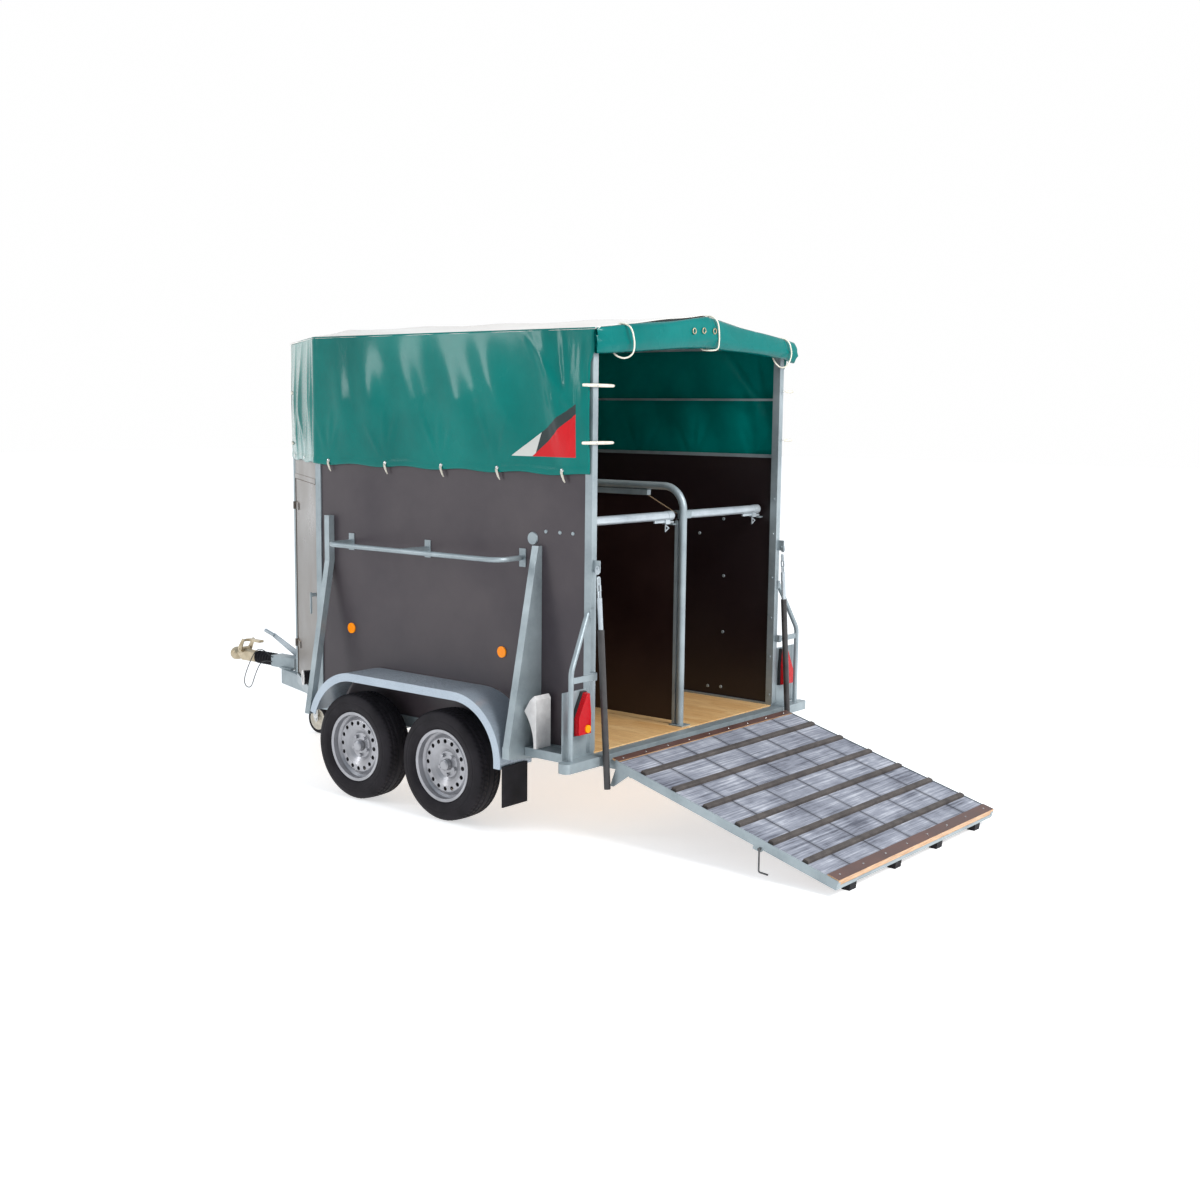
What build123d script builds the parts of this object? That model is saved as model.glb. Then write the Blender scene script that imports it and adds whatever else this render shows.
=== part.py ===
from build123d import *
import os
from math import atan2, cos, degrees, hypot, radians, sin, tan

# Two-stall livestock trailer with a tarpaulin top, standing with its loading ramp down.
# Millimetres. +Y is the driving direction, +X the vehicle's right, +Z up. The ground is z = 0, and the
# origin lies on the ground under the middle of the whole length, from the ramp's end to the coupling.

os.makedirs("parts", exist_ok=True)

# ---------------------------------------------------------------- driving dimensions
REAR = -1326.6  # rear face of the rear posts
FLOOR_Z = 460.0  # top of the wooden floor
HALF_WIDTH = 873.5  # outer face of the posts
POST_X = 40.0  # post section across the vehicle
POST_Y = 45.0  # post section along the vehicle
BOX_LENGTH = 2106.0  # rear posts to the corner posts, measured on their outer edges
NOSE_DEPTH = 799.0  # how far the nose reaches past the corner posts
NOSE_HALF = 373.5  # half width of the flat front panel
PLY = 18.0  # plywood thickness
WALL_X = 865.5  # outer face of the side walls
WALL_TOP = 1930.0
EAVE_Z = 2590.0
RIDGE_Z = 2700.0
SILL_LOW = 410.0
SILL_TOP = 470.0
CLOTH = 4.0  # tarpaulin solids

TYRE_R = 301.0
TYRE_W = 185.0
WHEEL_X = 1020.0  # mid plane of the tyres
AXLES = {"rear": REAR + 842.0, "front": REAR + 1534.0}
ARM_REACH = 145.0  # pivot of the suspension arm ahead of the wheel
ARM_RISE = 49.0  # and above it
STUB_R = 20.0
ARM_SHAFT_R = 26.0
RUN = 0.05  # radial running clearance

BEAM_BACK = -68.0  # rear face of the rear beam, from the posts
BEAM_FRONT = 5.0
BEAM_LOW = 405.0
BEAM_TOP = 455.0

RAMP_LENGTH = 1374.0
RAMP_HALF = 826.0
RAMP_DOWN = 15.4  # slope of the lowered ramp, degrees
RAMP_DROP = 27.0  # hinge axis below the ramp's upper surface
RAMP_TOP_EDGE = (REAR - 109.0, 447.0)  # (y, z) of the upper surface at the hinge end
BATTENS = 6
BATTEN_PITCH = 197.0
BATTEN_TOP = 12.0

STRUT_X = 856.0
STRUT_TOP = (REAR - 30.0, 1410.0)
STRUT_END = (REAR - 105.0, 290.0)

DRAW_Z = 427.0  # draw tube axis
BALL_Y = REAR + 4040.0


def save(piece, name):
    """Labels a finished piece and writes its STEP file."""
    piece.part.label = name
    export_step(piece.part, f"parts/{name}.step")


def bar(start, end, radius):
    """A straight round bar between two points, added to the part being built."""
    run = Vector(*end) - Vector(*start)
    with BuildSketch(Plane(origin=start, z_dir=run)) as end_face:
        Circle(radius)
    extrude(end_face.sketch, amount=run.length)


def block(low, high):
    """A rectangular block between two corners, added to the part being built."""
    size = [h - l for l, h in zip(low, high)]
    middle = tuple((h + l) / 2 for l, h in zip(low, high))
    with Locations(middle):
        Box(*size)


def bolt(centre, direction, radius, height):
    """A low domed bolt head standing on a face."""
    with BuildSketch(Plane(origin=centre, z_dir=direction)) as base:
        Circle(radius)
    extrude(base.sketch, amount=height, taper=20)


# ---------------------------------------------------------------- plan of the nose
CORNER = Vector(WALL_X, REAR + BOX_LENGTH)
FRONT = Vector(NOSE_HALF, REAR + BOX_LENGTH + NOSE_DEPTH)
SLANT = (FRONT - CORNER).normalized()  # along the right nose panel, forwards and inwards
SLANT_OUT = Vector(SLANT.Y, -SLANT.X)  # its outward normal
SLANT_LENGTH = (FRONT - CORNER).length
FRONT_Y = REAR + BOX_LENGTH + NOSE_DEPTH


def slant_points(start, end, depth_out, depth_in, side):
    """Corners of a strip along a nose panel: from start to end along it, out and in from its outer face."""
    corners = [(start, depth_out), (end, depth_out), (end, -depth_in), (start, -depth_in)]
    spots = [CORNER + SLANT * along + SLANT_OUT * out for along, out in corners]
    return [(side * spot.X, spot.Y) for spot in spots]


def slant_strip(start, end, depth_out, depth_in, side, low, high):
    """An upright prism along a nose panel, added to the part being built."""
    with BuildSketch(Plane.XY.offset(low)) as strip:
        Polygon(*slant_points(start, end, depth_out, depth_in, side), align=None)
    extrude(strip.sketch, amount=high - low)


# ---------------------------------------------------------------- chassis
RAIL_X = 620.0
CROSS_MEMBERS = (420.0, 1010.0, 1380.0, 2050.0)
SEAM = 0.3  # gap at a weld seam, which keeps each member a solid of its own
with BuildPart() as chassis_rails:
    for side in (-1, 1):
        outer = side * HALF_WIDTH
        inner = side * (HALF_WIDTH - POST_X)
        block((min(outer, inner), REAR + BEAM_FRONT, SILL_LOW),
              (max(outer, inner), REAR + BOX_LENGTH, SILL_TOP))
        block((side * RAIL_X - 30, REAR + BEAM_FRONT, 390),
              (side * RAIL_X + 30, REAR + BOX_LENGTH, FLOOR_Z - PLY - 2))
        slant_strip(30, SLANT_LENGTH - 30, 8, 32, side, SILL_LOW, SILL_TOP)
    for along in CROSS_MEMBERS:
        block((-RAIL_X + 30 + SEAM, REAR + along, 395),
              (RAIL_X - 30 - SEAM, REAR + along + 50, FLOOR_Z - PLY - 2))
    block((-NOSE_HALF + 24, FRONT_Y - 32, SILL_LOW), (NOSE_HALF - 24, FRONT_Y + 8, SILL_TOP))
save(chassis_rails, "chassis_rails")

# A-frame: two beams under the floor that meet ahead of the nose
BEAM_REAR = Vector(560, REAR + 1760)
BEAM_NOSE = Vector(52, REAR + 3440)
BEAM_HALF = 24.0
BEAM_Z = (288.0, 389.0)
JOCKEY = (-98.0, REAR + 3060.0)
LEG_R = 24.0
CLAMP_Z = (300.0, 380.0)
with BuildPart() as drawbar_beams:
    run = BEAM_NOSE - BEAM_REAR
    across = Vector(run.Y, -run.X).normalized() * BEAM_HALF
    for side in (-1, 1):
        spots = [BEAM_REAR + across, BEAM_NOSE + across, BEAM_NOSE - across, BEAM_REAR - across]
        with BuildSketch(Plane.XY.offset(BEAM_Z[0])):
            Polygon(*[(side * spot.X, spot.Y) for spot in spots], align=None)
        extrude(amount=BEAM_Z[1] - BEAM_Z[0])
    # clamp of the jockey leg on the left beam's inner side
    with BuildSketch(Plane.XY.offset(CLAMP_Z[0])):
        with Locations(JOCKEY):
            Circle(33)
        with Locations((JOCKEY[0] - 34, JOCKEY[1])):
            Rectangle(28, 34)
        with Locations(JOCKEY):
            Circle(LEG_R + RUN, mode=Mode.SUBTRACT)
    extrude(amount=CLAMP_Z[1] - CLAMP_Z[0])
save(drawbar_beams, "drawbar_beams")

with BuildPart() as floor_board:
    inner = WALL_X - 34
    with BuildSketch(Plane.XY.offset(FLOOR_Z - PLY)):
        Polygon(
            (-inner, REAR + 7), (inner, REAR + 7), (inner, CORNER.Y - 6),
            (NOSE_HALF - 26, FRONT_Y - 36), (-NOSE_HALF + 26, FRONT_Y - 36), (-inner, CORNER.Y - 6),
            align=None,
        )
    extrude(amount=PLY)
save(floor_board, "floor_board")

# rear beam with its boat-shaped ends, the ears of the ramp hinge, the lamp plates and the chock bracket
BEAM_END = 1130.0
s, c = sin(radians(RAMP_DOWN)), cos(radians(RAMP_DOWN))
HINGE_Y = RAMP_TOP_EDGE[0] + RAMP_DROP * s
HINGE_Z = RAMP_TOP_EDGE[1] - RAMP_DROP * c
EAR_R = 16.0
PIN_R = 8.0
EARS = {-808.0: (1,), 0.0: (-1, 1), 808.0: (-1,)}  # each ear's place and where its pins point
EAR_W = 10.0
LAMP_PLATE_Y = REAR + 12.0
GUSSET_Y = REAR + 336.0
with BuildPart() as rear_crossbeam:
    with BuildSketch(Plane(origin=(0, REAR + (BEAM_FRONT + BEAM_BACK) / 2, BEAM_LOW))):
        Rectangle(2 * BEAM_END, BEAM_FRONT - BEAM_BACK)
        fillet(vertices(), radius=30)
    extrude(amount=BEAM_TOP - BEAM_LOW)
    for ear_x, ways in EARS.items():
        with BuildSketch(Plane.YZ.offset(ear_x - EAR_W / 2)):
            with Locations((HINGE_Y, HINGE_Z)):
                Circle(EAR_R)
            Polygon(
                (HINGE_Y - EAR_R, HINGE_Z), (HINGE_Y - EAR_R, 388), (REAR - 20, 388),
                (REAR - 20, BEAM_LOW + 2), (HINGE_Y + EAR_R, BEAM_LOW + 2), (HINGE_Y + EAR_R, HINGE_Z),
                align=None,
            )
        extrude(amount=EAR_W)
        for way in ways:
            bar((ear_x, HINGE_Y, HINGE_Z), (ear_x + way * 45, HINGE_Y, HINGE_Z), PIN_R)
    for side in (-1, 1):
        block((side * 985 - 95, LAMP_PLATE_Y - 3, BEAM_TOP), (side * 985 + 95, LAMP_PLATE_Y, 800))
        block((side * 936 - 61, REAR + 4, SILL_LOW + 10), (side * 936 + 61, GUSSET_Y - 2, SILL_TOP - 4))
save(rear_crossbeam, "rear_crossbeam")

# ---------------------------------------------------------------- body frame
POST_IN = HALF_WIDTH - POST_X
HOOK_PIN_R = 5.0
with BuildPart() as rear_posts:
    for side in (-1, 1):
        low_x, high_x = sorted((side * POST_IN, side * HALF_WIDTH))
        block((low_x, REAR, SILL_TOP), (high_x, REAR + POST_Y, EAVE_Z))
        # lug that the lifting spring hooks on
        block((side * STRUT_X - 3, REAR - 42, STRUT_TOP[1] - 22),
              (side * STRUT_X + 3, REAR + 1, STRUT_TOP[1] + 38))
        bar((side * (STRUT_X - 14), *STRUT_TOP), (side * (STRUT_X + 14), *STRUT_TOP), HOOK_PIN_R)
save(rear_posts, "rear_posts")

with BuildPart() as front_posts:
    for side in (-1, 1):
        low_x, high_x = sorted((side * POST_IN, side * HALF_WIDTH))
        block((low_x, CORNER.Y - POST_Y, SILL_TOP), (high_x, CORNER.Y, EAVE_Z))
        low_x, high_x = sorted((side * (NOSE_HALF - 30), side * (NOSE_HALF + 6)))
        block((low_x, FRONT_Y - 34, SILL_TOP), (high_x, FRONT_Y + 6, EAVE_Z))
save(front_posts, "front_posts")

# rails along the eaves, the gable bows with their ridge tube, and the rails above and inside the walls
RAIL = 30.0
BOWS = (3.0, 700.0, 1400.0, 2061.0)
RIDGE_END = 2795.0  # the ridge stops here and the roof comes down to the front panel
with BuildPart() as roof_frame:
    for side in (-1, 1):
        for rail_low, rail_size in ((EAVE_Z - RAIL, RAIL), (WALL_TOP, 20), (2262, 14)):
            low_x, high_x = sorted((side * (HALF_WIDTH - 4), side * (HALF_WIDTH - 4 - rail_size)))
            block((low_x, REAR + POST_Y, rail_low), (high_x, CORNER.Y - POST_Y, rail_low + rail_size))
        slant_strip(34, SLANT_LENGTH - 34, 0, 24, side, EAVE_Z - RAIL, EAVE_Z)
        slant_strip(34, SLANT_LENGTH - 34, 0, 22, side, WALL_TOP, WALL_TOP + 20)
    block((-NOSE_HALF + 32, FRONT_Y - 28, EAVE_Z - RAIL), (NOSE_HALF - 32, FRONT_Y, EAVE_Z))
    block((-NOSE_HALF + 32, FRONT_Y - 22, WALL_TOP), (NOSE_HALF - 32, FRONT_Y, WALL_TOP + 20))
    for bow_y in BOWS:
        with BuildSketch(Plane.XZ.offset(-(REAR + bow_y))):
            Polygon(
                (-HALF_WIDTH + 6, EAVE_Z + SEAM), (-HALF_WIDTH + 90, EAVE_Z + SEAM), (0, RIDGE_Z - 32),
                (HALF_WIDTH - 90, EAVE_Z + SEAM), (HALF_WIDTH - 6, EAVE_Z + SEAM),
                (HALF_WIDTH - 6, EAVE_Z + 5), (0, RIDGE_Z - 4), (-HALF_WIDTH + 6, EAVE_Z + 5),
                align=None,
            )
        extrude(amount=-24)
    for bow_start, bow_end in zip(BOWS, (*BOWS[1:], RIDGE_END - 40)):
        block((-14, REAR + bow_start + 24 + SEAM, RIDGE_Z - 32), (14, REAR + bow_end - SEAM, RIDGE_Z - 8))
    # the ridge tube's front end comes down to the front panel's rail
    with BuildSketch(Plane.YZ.offset(-14)):
        Polygon(
            (REAR + RIDGE_END - 40, RIDGE_Z - 32), (REAR + RIDGE_END - 40, RIDGE_Z - 8),
            (REAR + RIDGE_END - 6, RIDGE_Z - 8), (FRONT_Y - 4, EAVE_Z + 14), (FRONT_Y - 4, EAVE_Z + SEAM),
            (FRONT_Y - 28, EAVE_Z + SEAM), align=None,
        )
    extrude(amount=28)
save(roof_frame, "roof_frame")

with BuildPart() as side_walls:
    for side in (-1, 1):
        low_x, high_x = sorted((side * WALL_X, side * (WALL_X - PLY)))
        block((low_x, REAR + POST_Y, SILL_TOP), (high_x, CORNER.Y - POST_Y, WALL_TOP))
save(side_walls, "side_walls")

# entry door in the left nose panel
DOOR_LOW, DOOR_HIGH = 482.0, 1742.0
DOOR_FREE, DOOR_HUNG = 36.0, SLANT_LENGTH - 50.0
DOOR_AXIS_OUT = 12.0
HINGE_ZS = (677.0, 1571.0)
KNUCKLE_R = 8.0
with BuildPart() as nose_panels:
    slant_strip(34, SLANT_LENGTH - 34, 0, PLY, 1, SILL_TOP, WALL_TOP)
    slant_strip(34, SLANT_LENGTH - 34, 0, PLY, -1, DOOR_HIGH + 34 + SEAM, WALL_TOP)
    slant_strip(34, SLANT_LENGTH - 34, 4, 26, -1, DOOR_HIGH + 4, DOOR_HIGH + 34)
    block((-NOSE_HALF + 32, FRONT_Y - PLY, SILL_TOP), (NOSE_HALF - 32, FRONT_Y, WALL_TOP))
    slant_strip(SLANT_LENGTH - 42, SLANT_LENGTH - 34, 4, 22, -1, SILL_TOP, DOOR_HIGH + 4 - SEAM)
    for hinge_z in HINGE_ZS:
        slant_strip(SLANT_LENGTH - 41, SLANT_LENGTH - 34, DOOR_AXIS_OUT, -4, -1, hinge_z - 20, hinge_z + 20)
save(nose_panels, "nose_panels")

hung = CORNER + SLANT * DOOR_HUNG + SLANT_OUT * DOOR_AXIS_OUT
DOOR_AXIS = (-hung.X, hung.Y)
with BuildPart() as entry_door:
    slant_strip(DOOR_FREE, DOOR_HUNG - 8, 0, PLY, -1, DOOR_LOW, DOOR_HIGH)
    for hinge_z in HINGE_ZS:
        slant_strip(DOOR_HUNG - 130, DOOR_HUNG, 6, 0, -1, hinge_z - 22, hinge_z + 22)
        bar((*DOOR_AXIS, hinge_z - 24), (*DOOR_AXIS, hinge_z + 24), KNUCKLE_R)
save(entry_door, "entry_door")

HANDLE_Z = 1085.0
grip = CORNER + SLANT * (DOOR_FREE + 45) + SLANT_OUT * 0.5
HANDLE_AXIS = (-grip.X, grip.Y, HANDLE_Z)
outward = Vector(-SLANT_OUT.X, SLANT_OUT.Y, 0)
handle_face = Plane(origin=Vector(*HANDLE_AXIS) + outward * 24, x_dir=(0, 0, 1), z_dir=outward)
with BuildPart() as door_handle:
    bar(HANDLE_AXIS, tuple(Vector(*HANDLE_AXIS) + outward * 34), 11)
    with BuildSketch(handle_face):
        with Locations((-50, 0)):
            SlotOverall(130, 22)
    extrude(amount=10)
save(door_handle, "door_handle")

# ---------------------------------------------------------------- fittings on the left and right walls
TUBE_R = 13.5
RAIL_Z = 1430.0
RAIL_OUT = 1075.0
RAIL_FEET = (1799.0, 1174.0, 469.0)
with BuildPart() as handrail:
    front, middle, back = [REAR + foot for foot in RAIL_FEET]
    with BuildLine() as rail_line:
        FilletPolyline(
            (-WALL_X - 4, front, RAIL_Z), (-RAIL_OUT, front - 30, RAIL_Z), (-RAIL_OUT, back - 20, RAIL_Z),
            (-WALL_X - 4, back, RAIL_Z), radius=75,
        )
    with BuildSketch(Plane(origin=rail_line.line @ 0, z_dir=rail_line.line % 0)):
        Circle(TUBE_R)
    sweep(path=rail_line.line)
    bar((-WALL_X - 4, middle, RAIL_Z), (-RAIL_OUT, middle, RAIL_Z), TUBE_R)
    for foot_y in (front, middle, back):
        block((-WALL_X - 5, foot_y - 22, RAIL_Z - 48), (-WALL_X, foot_y + 22, RAIL_Z + 48))
save(handrail, "handrail")

# mudguards: one rolled sheet over both wheels of a side, with a deep lip along its outer edge
FENDER_OUT = 1120.0
FENDER_TOP = 721.0
FENDER_SHEET = 3.0
FENDER_LIP = 46.0
with BuildPart() as fenders:
    for side in (-1, 1):
        for depth, inner_x in ((FENDER_SHEET, HALF_WIDTH + 2), (FENDER_LIP, FENDER_OUT - 4)):
            with BuildSketch(Plane.YZ.offset(min(side * inner_x, side * FENDER_OUT))):
                with BuildLine():
                    rear_bend = FilletPolyline(
                        (REAR + 393, 356), (REAR + 393, FENDER_TOP), (REAR + 1530, FENDER_TOP), radius=338
                    )
                    TangentArc(rear_bend @ 1, (REAR + 1884, 462), tangent=(1, 0))
                    offset(amount=depth, side=Side.RIGHT)
                make_face()
            extrude(amount=FENDER_OUT - inner_x)
save(fenders, "fenders")

with BuildPart() as mudflaps:
    for side in (-1, 1):
        low_x, high_x = sorted((side * 922, side * 1112))
        block((low_x, REAR + 380, 156), (high_x, REAR + 388, 372))
save(mudflaps, "mudflaps")

# tapered gussets behind the wheels and perforated braces ahead of them, each on an outrigger
BRACE_Y = REAR + 1972.0
BRACE_X = WALL_X + 21.0
BRACE = 40.0
BRACE_KINK = 1310.0  # upright on the wall above, leaning out to the mudguard's front end below
BRACE_FOOT = (1094.0, BRACE_Y - 52.0, 440.0)
GUSSET_FOOT = 1112.0
GUSSET_LOW, GUSSET_HIGH = 475.0, 1500.0
OUTRIGGER_LOW = 388.0
with BuildPart() as fender_supports:
    for side in (-1, 1):
        root, foot, tip = side * (WALL_X + 1), side * GUSSET_FOOT, side * (WALL_X + 30)
        web = [(root, GUSSET_LOW), (foot, GUSSET_LOW), (tip, GUSSET_HIGH), (root, GUSSET_HIGH)]
        lip = [
            (foot, GUSSET_LOW), (tip, GUSSET_HIGH), (tip - side * 4, GUSSET_HIGH),
            (foot - side * 4, GUSSET_LOW),
        ]
        outrigger = [
            (foot, GUSSET_LOW), (foot, GUSSET_LOW - 60), (side * (HALF_WIDTH + 2), OUTRIGGER_LOW),
            (root + side * 9, OUTRIGGER_LOW), (root + side * 9, GUSSET_LOW),
        ]
        for outline, depth in ((web, 4), (lip, 44), (outrigger, 48)):
            with BuildSketch(Plane.XZ.offset(-GUSSET_Y)):
                Polygon(*outline, align=None)
            extrude(amount=-depth)
        with BuildSketch(Plane.XY.offset(BRACE_KINK)):
            with Locations((side * BRACE_X, BRACE_Y)):
                Rectangle(BRACE, BRACE)
        extrude(amount=264)
        with BuildSketch(Plane.XY.offset(BRACE_KINK)):
            with Locations((side * BRACE_X, BRACE_Y)):
                Rectangle(BRACE, BRACE)
        with BuildSketch(Plane.XY.offset(BRACE_FOOT[2])):
            with Locations((side * BRACE_FOOT[0], BRACE_FOOT[1])):
                Rectangle(BRACE, BRACE)
        loft()
save(fender_supports, "fender_supports")

# bent tubes that guard the lamps
GUARD_Y = REAR - 24.0
GUARD_X = 1052.0
with BuildPart() as light_guards:
    for side in (-1, 1):
        with BuildLine() as guard_line:
            FilletPolyline(
                (side * (HALF_WIDTH + 15), GUARD_Y + 34, 1182), (side * GUARD_X, GUARD_Y, 905),
                (side * GUARD_X, GUARD_Y, BEAM_TOP), radius=90,
            )
        with BuildSketch(Plane(origin=guard_line.line @ 0, z_dir=guard_line.line % 0)):
            Circle(TUBE_R)
        sweep(path=guard_line.line)
        low_x, high_x = sorted((side * (HALF_WIDTH - 20), side * GUARD_X))
        block((low_x, GUARD_Y - 4, 845), (high_x, GUARD_Y + 4, 875))
        low_x, high_x = sorted((side * (HALF_WIDTH - 20), side * (HALF_WIDTH + 5)))
        block((low_x, GUARD_Y - 4, 840), (high_x, REAR - 0.5, 880))
        low_x, high_x = sorted((side * (HALF_WIDTH - 14), side * (HALF_WIDTH + 12)))
        block((low_x, GUARD_Y + 20, 1160), (high_x, REAR - 0.5, 1205))
save(light_guards, "light_guards")

# tall triangular lamps: black base, red lens, round amber indicator in its lower inner corner
LAMP_X = 958.0
LAMP_LOW, LAMP_HIGH = 572.0, 792.0
LAMP_BACK = LAMP_PLATE_Y - 3.5
AMBER_X, AMBER_Z, AMBER_R = 934.0, 604.0, 20.0


def lamp_outline(side, inset):
    """Points of the lamp's outline, set in by a margin."""
    return [
        (side * (LAMP_X - 56 + inset), LAMP_LOW + inset), (side * (LAMP_X + 56 - inset), LAMP_LOW + inset),
        (side * (LAMP_X + 56 - inset), LAMP_LOW + 90), (side * (LAMP_X - 14), LAMP_HIGH - inset),
        (side * (LAMP_X - 44 + inset), LAMP_HIGH - inset), (side * (LAMP_X - 56 + inset), LAMP_LOW + 110),
    ]


with BuildPart() as lamp_housings:
    for side in (-1, 1):
        with BuildSketch(Plane.XZ.offset(-LAMP_BACK)):
            Polygon(*lamp_outline(side, 0), align=None)
        extrude(amount=20)
save(lamp_housings, "lamp_housings")

with BuildPart() as red_lenses:
    for side in (-1, 1):
        with BuildSketch(Plane.XZ.offset(-LAMP_BACK + 20.3)):
            Polygon(*lamp_outline(side, 4), align=None)
            with Locations((side * AMBER_X, AMBER_Z)):
                Circle(AMBER_R + 0.5, mode=Mode.SUBTRACT)
        extrude(amount=26, taper=8)
save(red_lenses, "red_lenses")

REFLECTORS = ((1807.0, 925.0), (616.0, 916.0))
with BuildPart() as amber_lenses:
    for side in (-1, 1):
        bar((side * AMBER_X, LAMP_BACK - 20.3, AMBER_Z), (side * AMBER_X, LAMP_BACK - 50, AMBER_Z), AMBER_R)
        for along, height in REFLECTORS:
            bar((side * WALL_X, REAR + along, height), (side * (WALL_X + 7), REAR + along, height), 30)
save(amber_lenses, "amber_lenses")

# wheel chock standing on end in its bracket
CHOCK_X = (-1004.0, -892.0)
with BuildPart() as wheel_chock:
    with BuildSketch(Plane.YZ.offset(CHOCK_X[0])):
        with BuildLine():
            Polyline(
                (REAR + 330, 655), (REAR + 292, 716), (REAR + 262, 742), (REAR + 248, 722),
                (REAR + 248, 467), (REAR + 266, 467),
            )
            SagittaArc((REAR + 266, 467), (REAR + 330, 655), 18)
        make_face()
    extrude(amount=CHOCK_X[1] - CHOCK_X[0])
save(wheel_chock, "wheel_chock")

# ---------------------------------------------------------------- inside: centre partition and rump bars
PART_Y = REAR + 72.0
PART_TOP = 1786.0
PART_TUBE = 21.0
PART_FRONT = REAR + 1990.0
BAR_Y = REAR + 118.0
BAR_Z = 1630.0
BAR_R = 23.5
BAR_PIVOTS = {"left": -792.0, "right": 82.0}
BAR_ENDS = {"left": -52.0, "right": 800.0}
BAR_PIN_R = 6.0
PEG_R = 7.0
PEG_Z = BAR_Z - BAR_R - 13
CATCH_Z = PEG_Z - PEG_R - 1
EAR_OUT = BAR_R + 3.5


def bar_pivot(root_x, pivot_x):
    """Two ears on a back plate with a cross pin, added to the part being built."""
    block((root_x, BAR_Y - EAR_OUT - 5, BAR_Z - 24), (root_x + 8, BAR_Y + EAR_OUT + 5, BAR_Z + 24))
    for low_y in (BAR_Y - EAR_OUT - 5, BAR_Y + EAR_OUT):
        block((root_x, low_y, BAR_Z - 18), (pivot_x + 16, low_y + 5, BAR_Z + 18))
    bar((pivot_x, BAR_Y - EAR_OUT - 5, BAR_Z), (pivot_x, BAR_Y + EAR_OUT + 5, BAR_Z), BAR_PIN_R)


with BuildPart() as partition_frame:
    with BuildLine() as hoop:
        FilletPolyline(
            (0, PART_Y, FLOOR_Z + 6), (0, PART_Y, PART_TOP), (0, PART_FRONT, PART_TOP),
            (0, PART_FRONT, FLOOR_Z + 6), radius=130,
        )
    with BuildSketch(Plane(origin=hoop.line @ 0, z_dir=hoop.line % 0)):
        Circle(PART_TUBE)
    sweep(path=hoop.line)
    for foot_y in (PART_Y, PART_FRONT):
        block((-40, foot_y - 45, FLOOR_Z), (40, foot_y + 45, FLOOR_Z + 6))
    # upright and upper channels that hold the panel
    block((-16, PART_Y + 24, FLOOR_Z + 8), (16, PART_Y + 44, 1600))
    block((-16, REAR + 310, PART_TOP - 54), (16, REAR + 1860, PART_TOP - 24))
    # right bar's pivot and left bar's catch
    bar_pivot(16, BAR_PIVOTS["right"])
    block((-46, BAR_Y - 12, CATCH_Z - 8), (-14, BAR_Y + 12, CATCH_Z))
save(partition_frame, "partition_frame")

PANEL = 15.0
with BuildPart() as partition_panel:
    with BuildSketch(Plane.YZ.offset(-PANEL / 2)):
        Polygon(
            (PART_Y + 46, 482), (PART_FRONT - 40, 482), (PART_FRONT - 40, 1640),
            (PART_FRONT - 160, PART_TOP - 56), (REAR + 310, PART_TOP - 56), (PART_Y + 46, 1640), align=None,
        )
    extrude(amount=PANEL)
save(partition_panel, "partition_panel")

for name, pivot_x in BAR_PIVOTS.items():
    end_x = BAR_ENDS[name]
    with BuildPart() as rump_bar:
        bar((pivot_x - 14, BAR_Y, BAR_Z), (end_x, BAR_Y, BAR_Z), BAR_R)
        bar((end_x - 46, BAR_Y, BAR_Z), (end_x + 3, BAR_Y, BAR_Z), BAR_R + 2.5)
        block((end_x - 150, BAR_Y - 4, BAR_Z - BAR_R - 14), (end_x - 60, BAR_Y + 4, BAR_Z - BAR_R + 4))
        block((end_x - 60, BAR_Y - 12, BAR_Z - BAR_R - 22), (end_x - 20, BAR_Y + 12, BAR_Z - BAR_R + 4))
        bar((end_x - 30, BAR_Y, PEG_Z), (end_x + 20, BAR_Y, PEG_Z), PEG_R)
        with BuildSketch(Plane.XZ.offset(-BAR_Y)):
            with Locations((pivot_x, BAR_Z)):
                Circle(BAR_PIN_R + RUN)
        extrude(amount=2 * BAR_R, both=True, mode=Mode.SUBTRACT)
        with BuildSketch(Plane.XZ.offset(-(BAR_Y - 4))):
            with Locations((end_x - 40, BAR_Z - BAR_R - 44)):
                RegularPolygon(24, 3)
                RegularPolygon(15, 3, mode=Mode.SUBTRACT)
        extrude(amount=-6)
    save(rump_bar, f"rump_bar_{name}")

WALL_BOLTS = (
    (376, 1208), (374, 864), (560, 1458), (384, 1554), (477, 517), (380, 523), (980, 560), (1400, 560),
    (980, 1500), (1400, 1500), (1900, 560), (1900, 1500),
)
POST_BOLTS = (520, 751, 985, 1224, 1485, 1691)
OUTER_BOLTS = (129.0, 216.0, 311.0)
with BuildPart() as wall_bolts:
    for side in (-1, 1):
        for along, height in WALL_BOLTS:
            bolt((side * (WALL_X - PLY), REAR + along, height), (-side, 0, 0), 10, 4)
        for height in POST_BOLTS:
            bolt((side * POST_IN, REAR + 22, height), (-side, 0, 0), 7, 3)
        for along in OUTER_BOLTS:
            bolt((side * WALL_X, REAR + along, 1575), (side, 0, 0), 10, 4)
        bolt((side * WALL_X, REAR + 400, 1535), (side, 0, 0), 34, 7)
    # left wall: the left bar's pivot; right wall: catch under the right bar's end
    bar_pivot(-WALL_X + PLY, BAR_PIVOTS["left"])
    block((WALL_X - PLY - 40, BAR_Y - 12, CATCH_Z - 8), (WALL_X - PLY, BAR_Y + 12, CATCH_Z))
save(wall_bolts, "wall_bolts")

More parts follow.
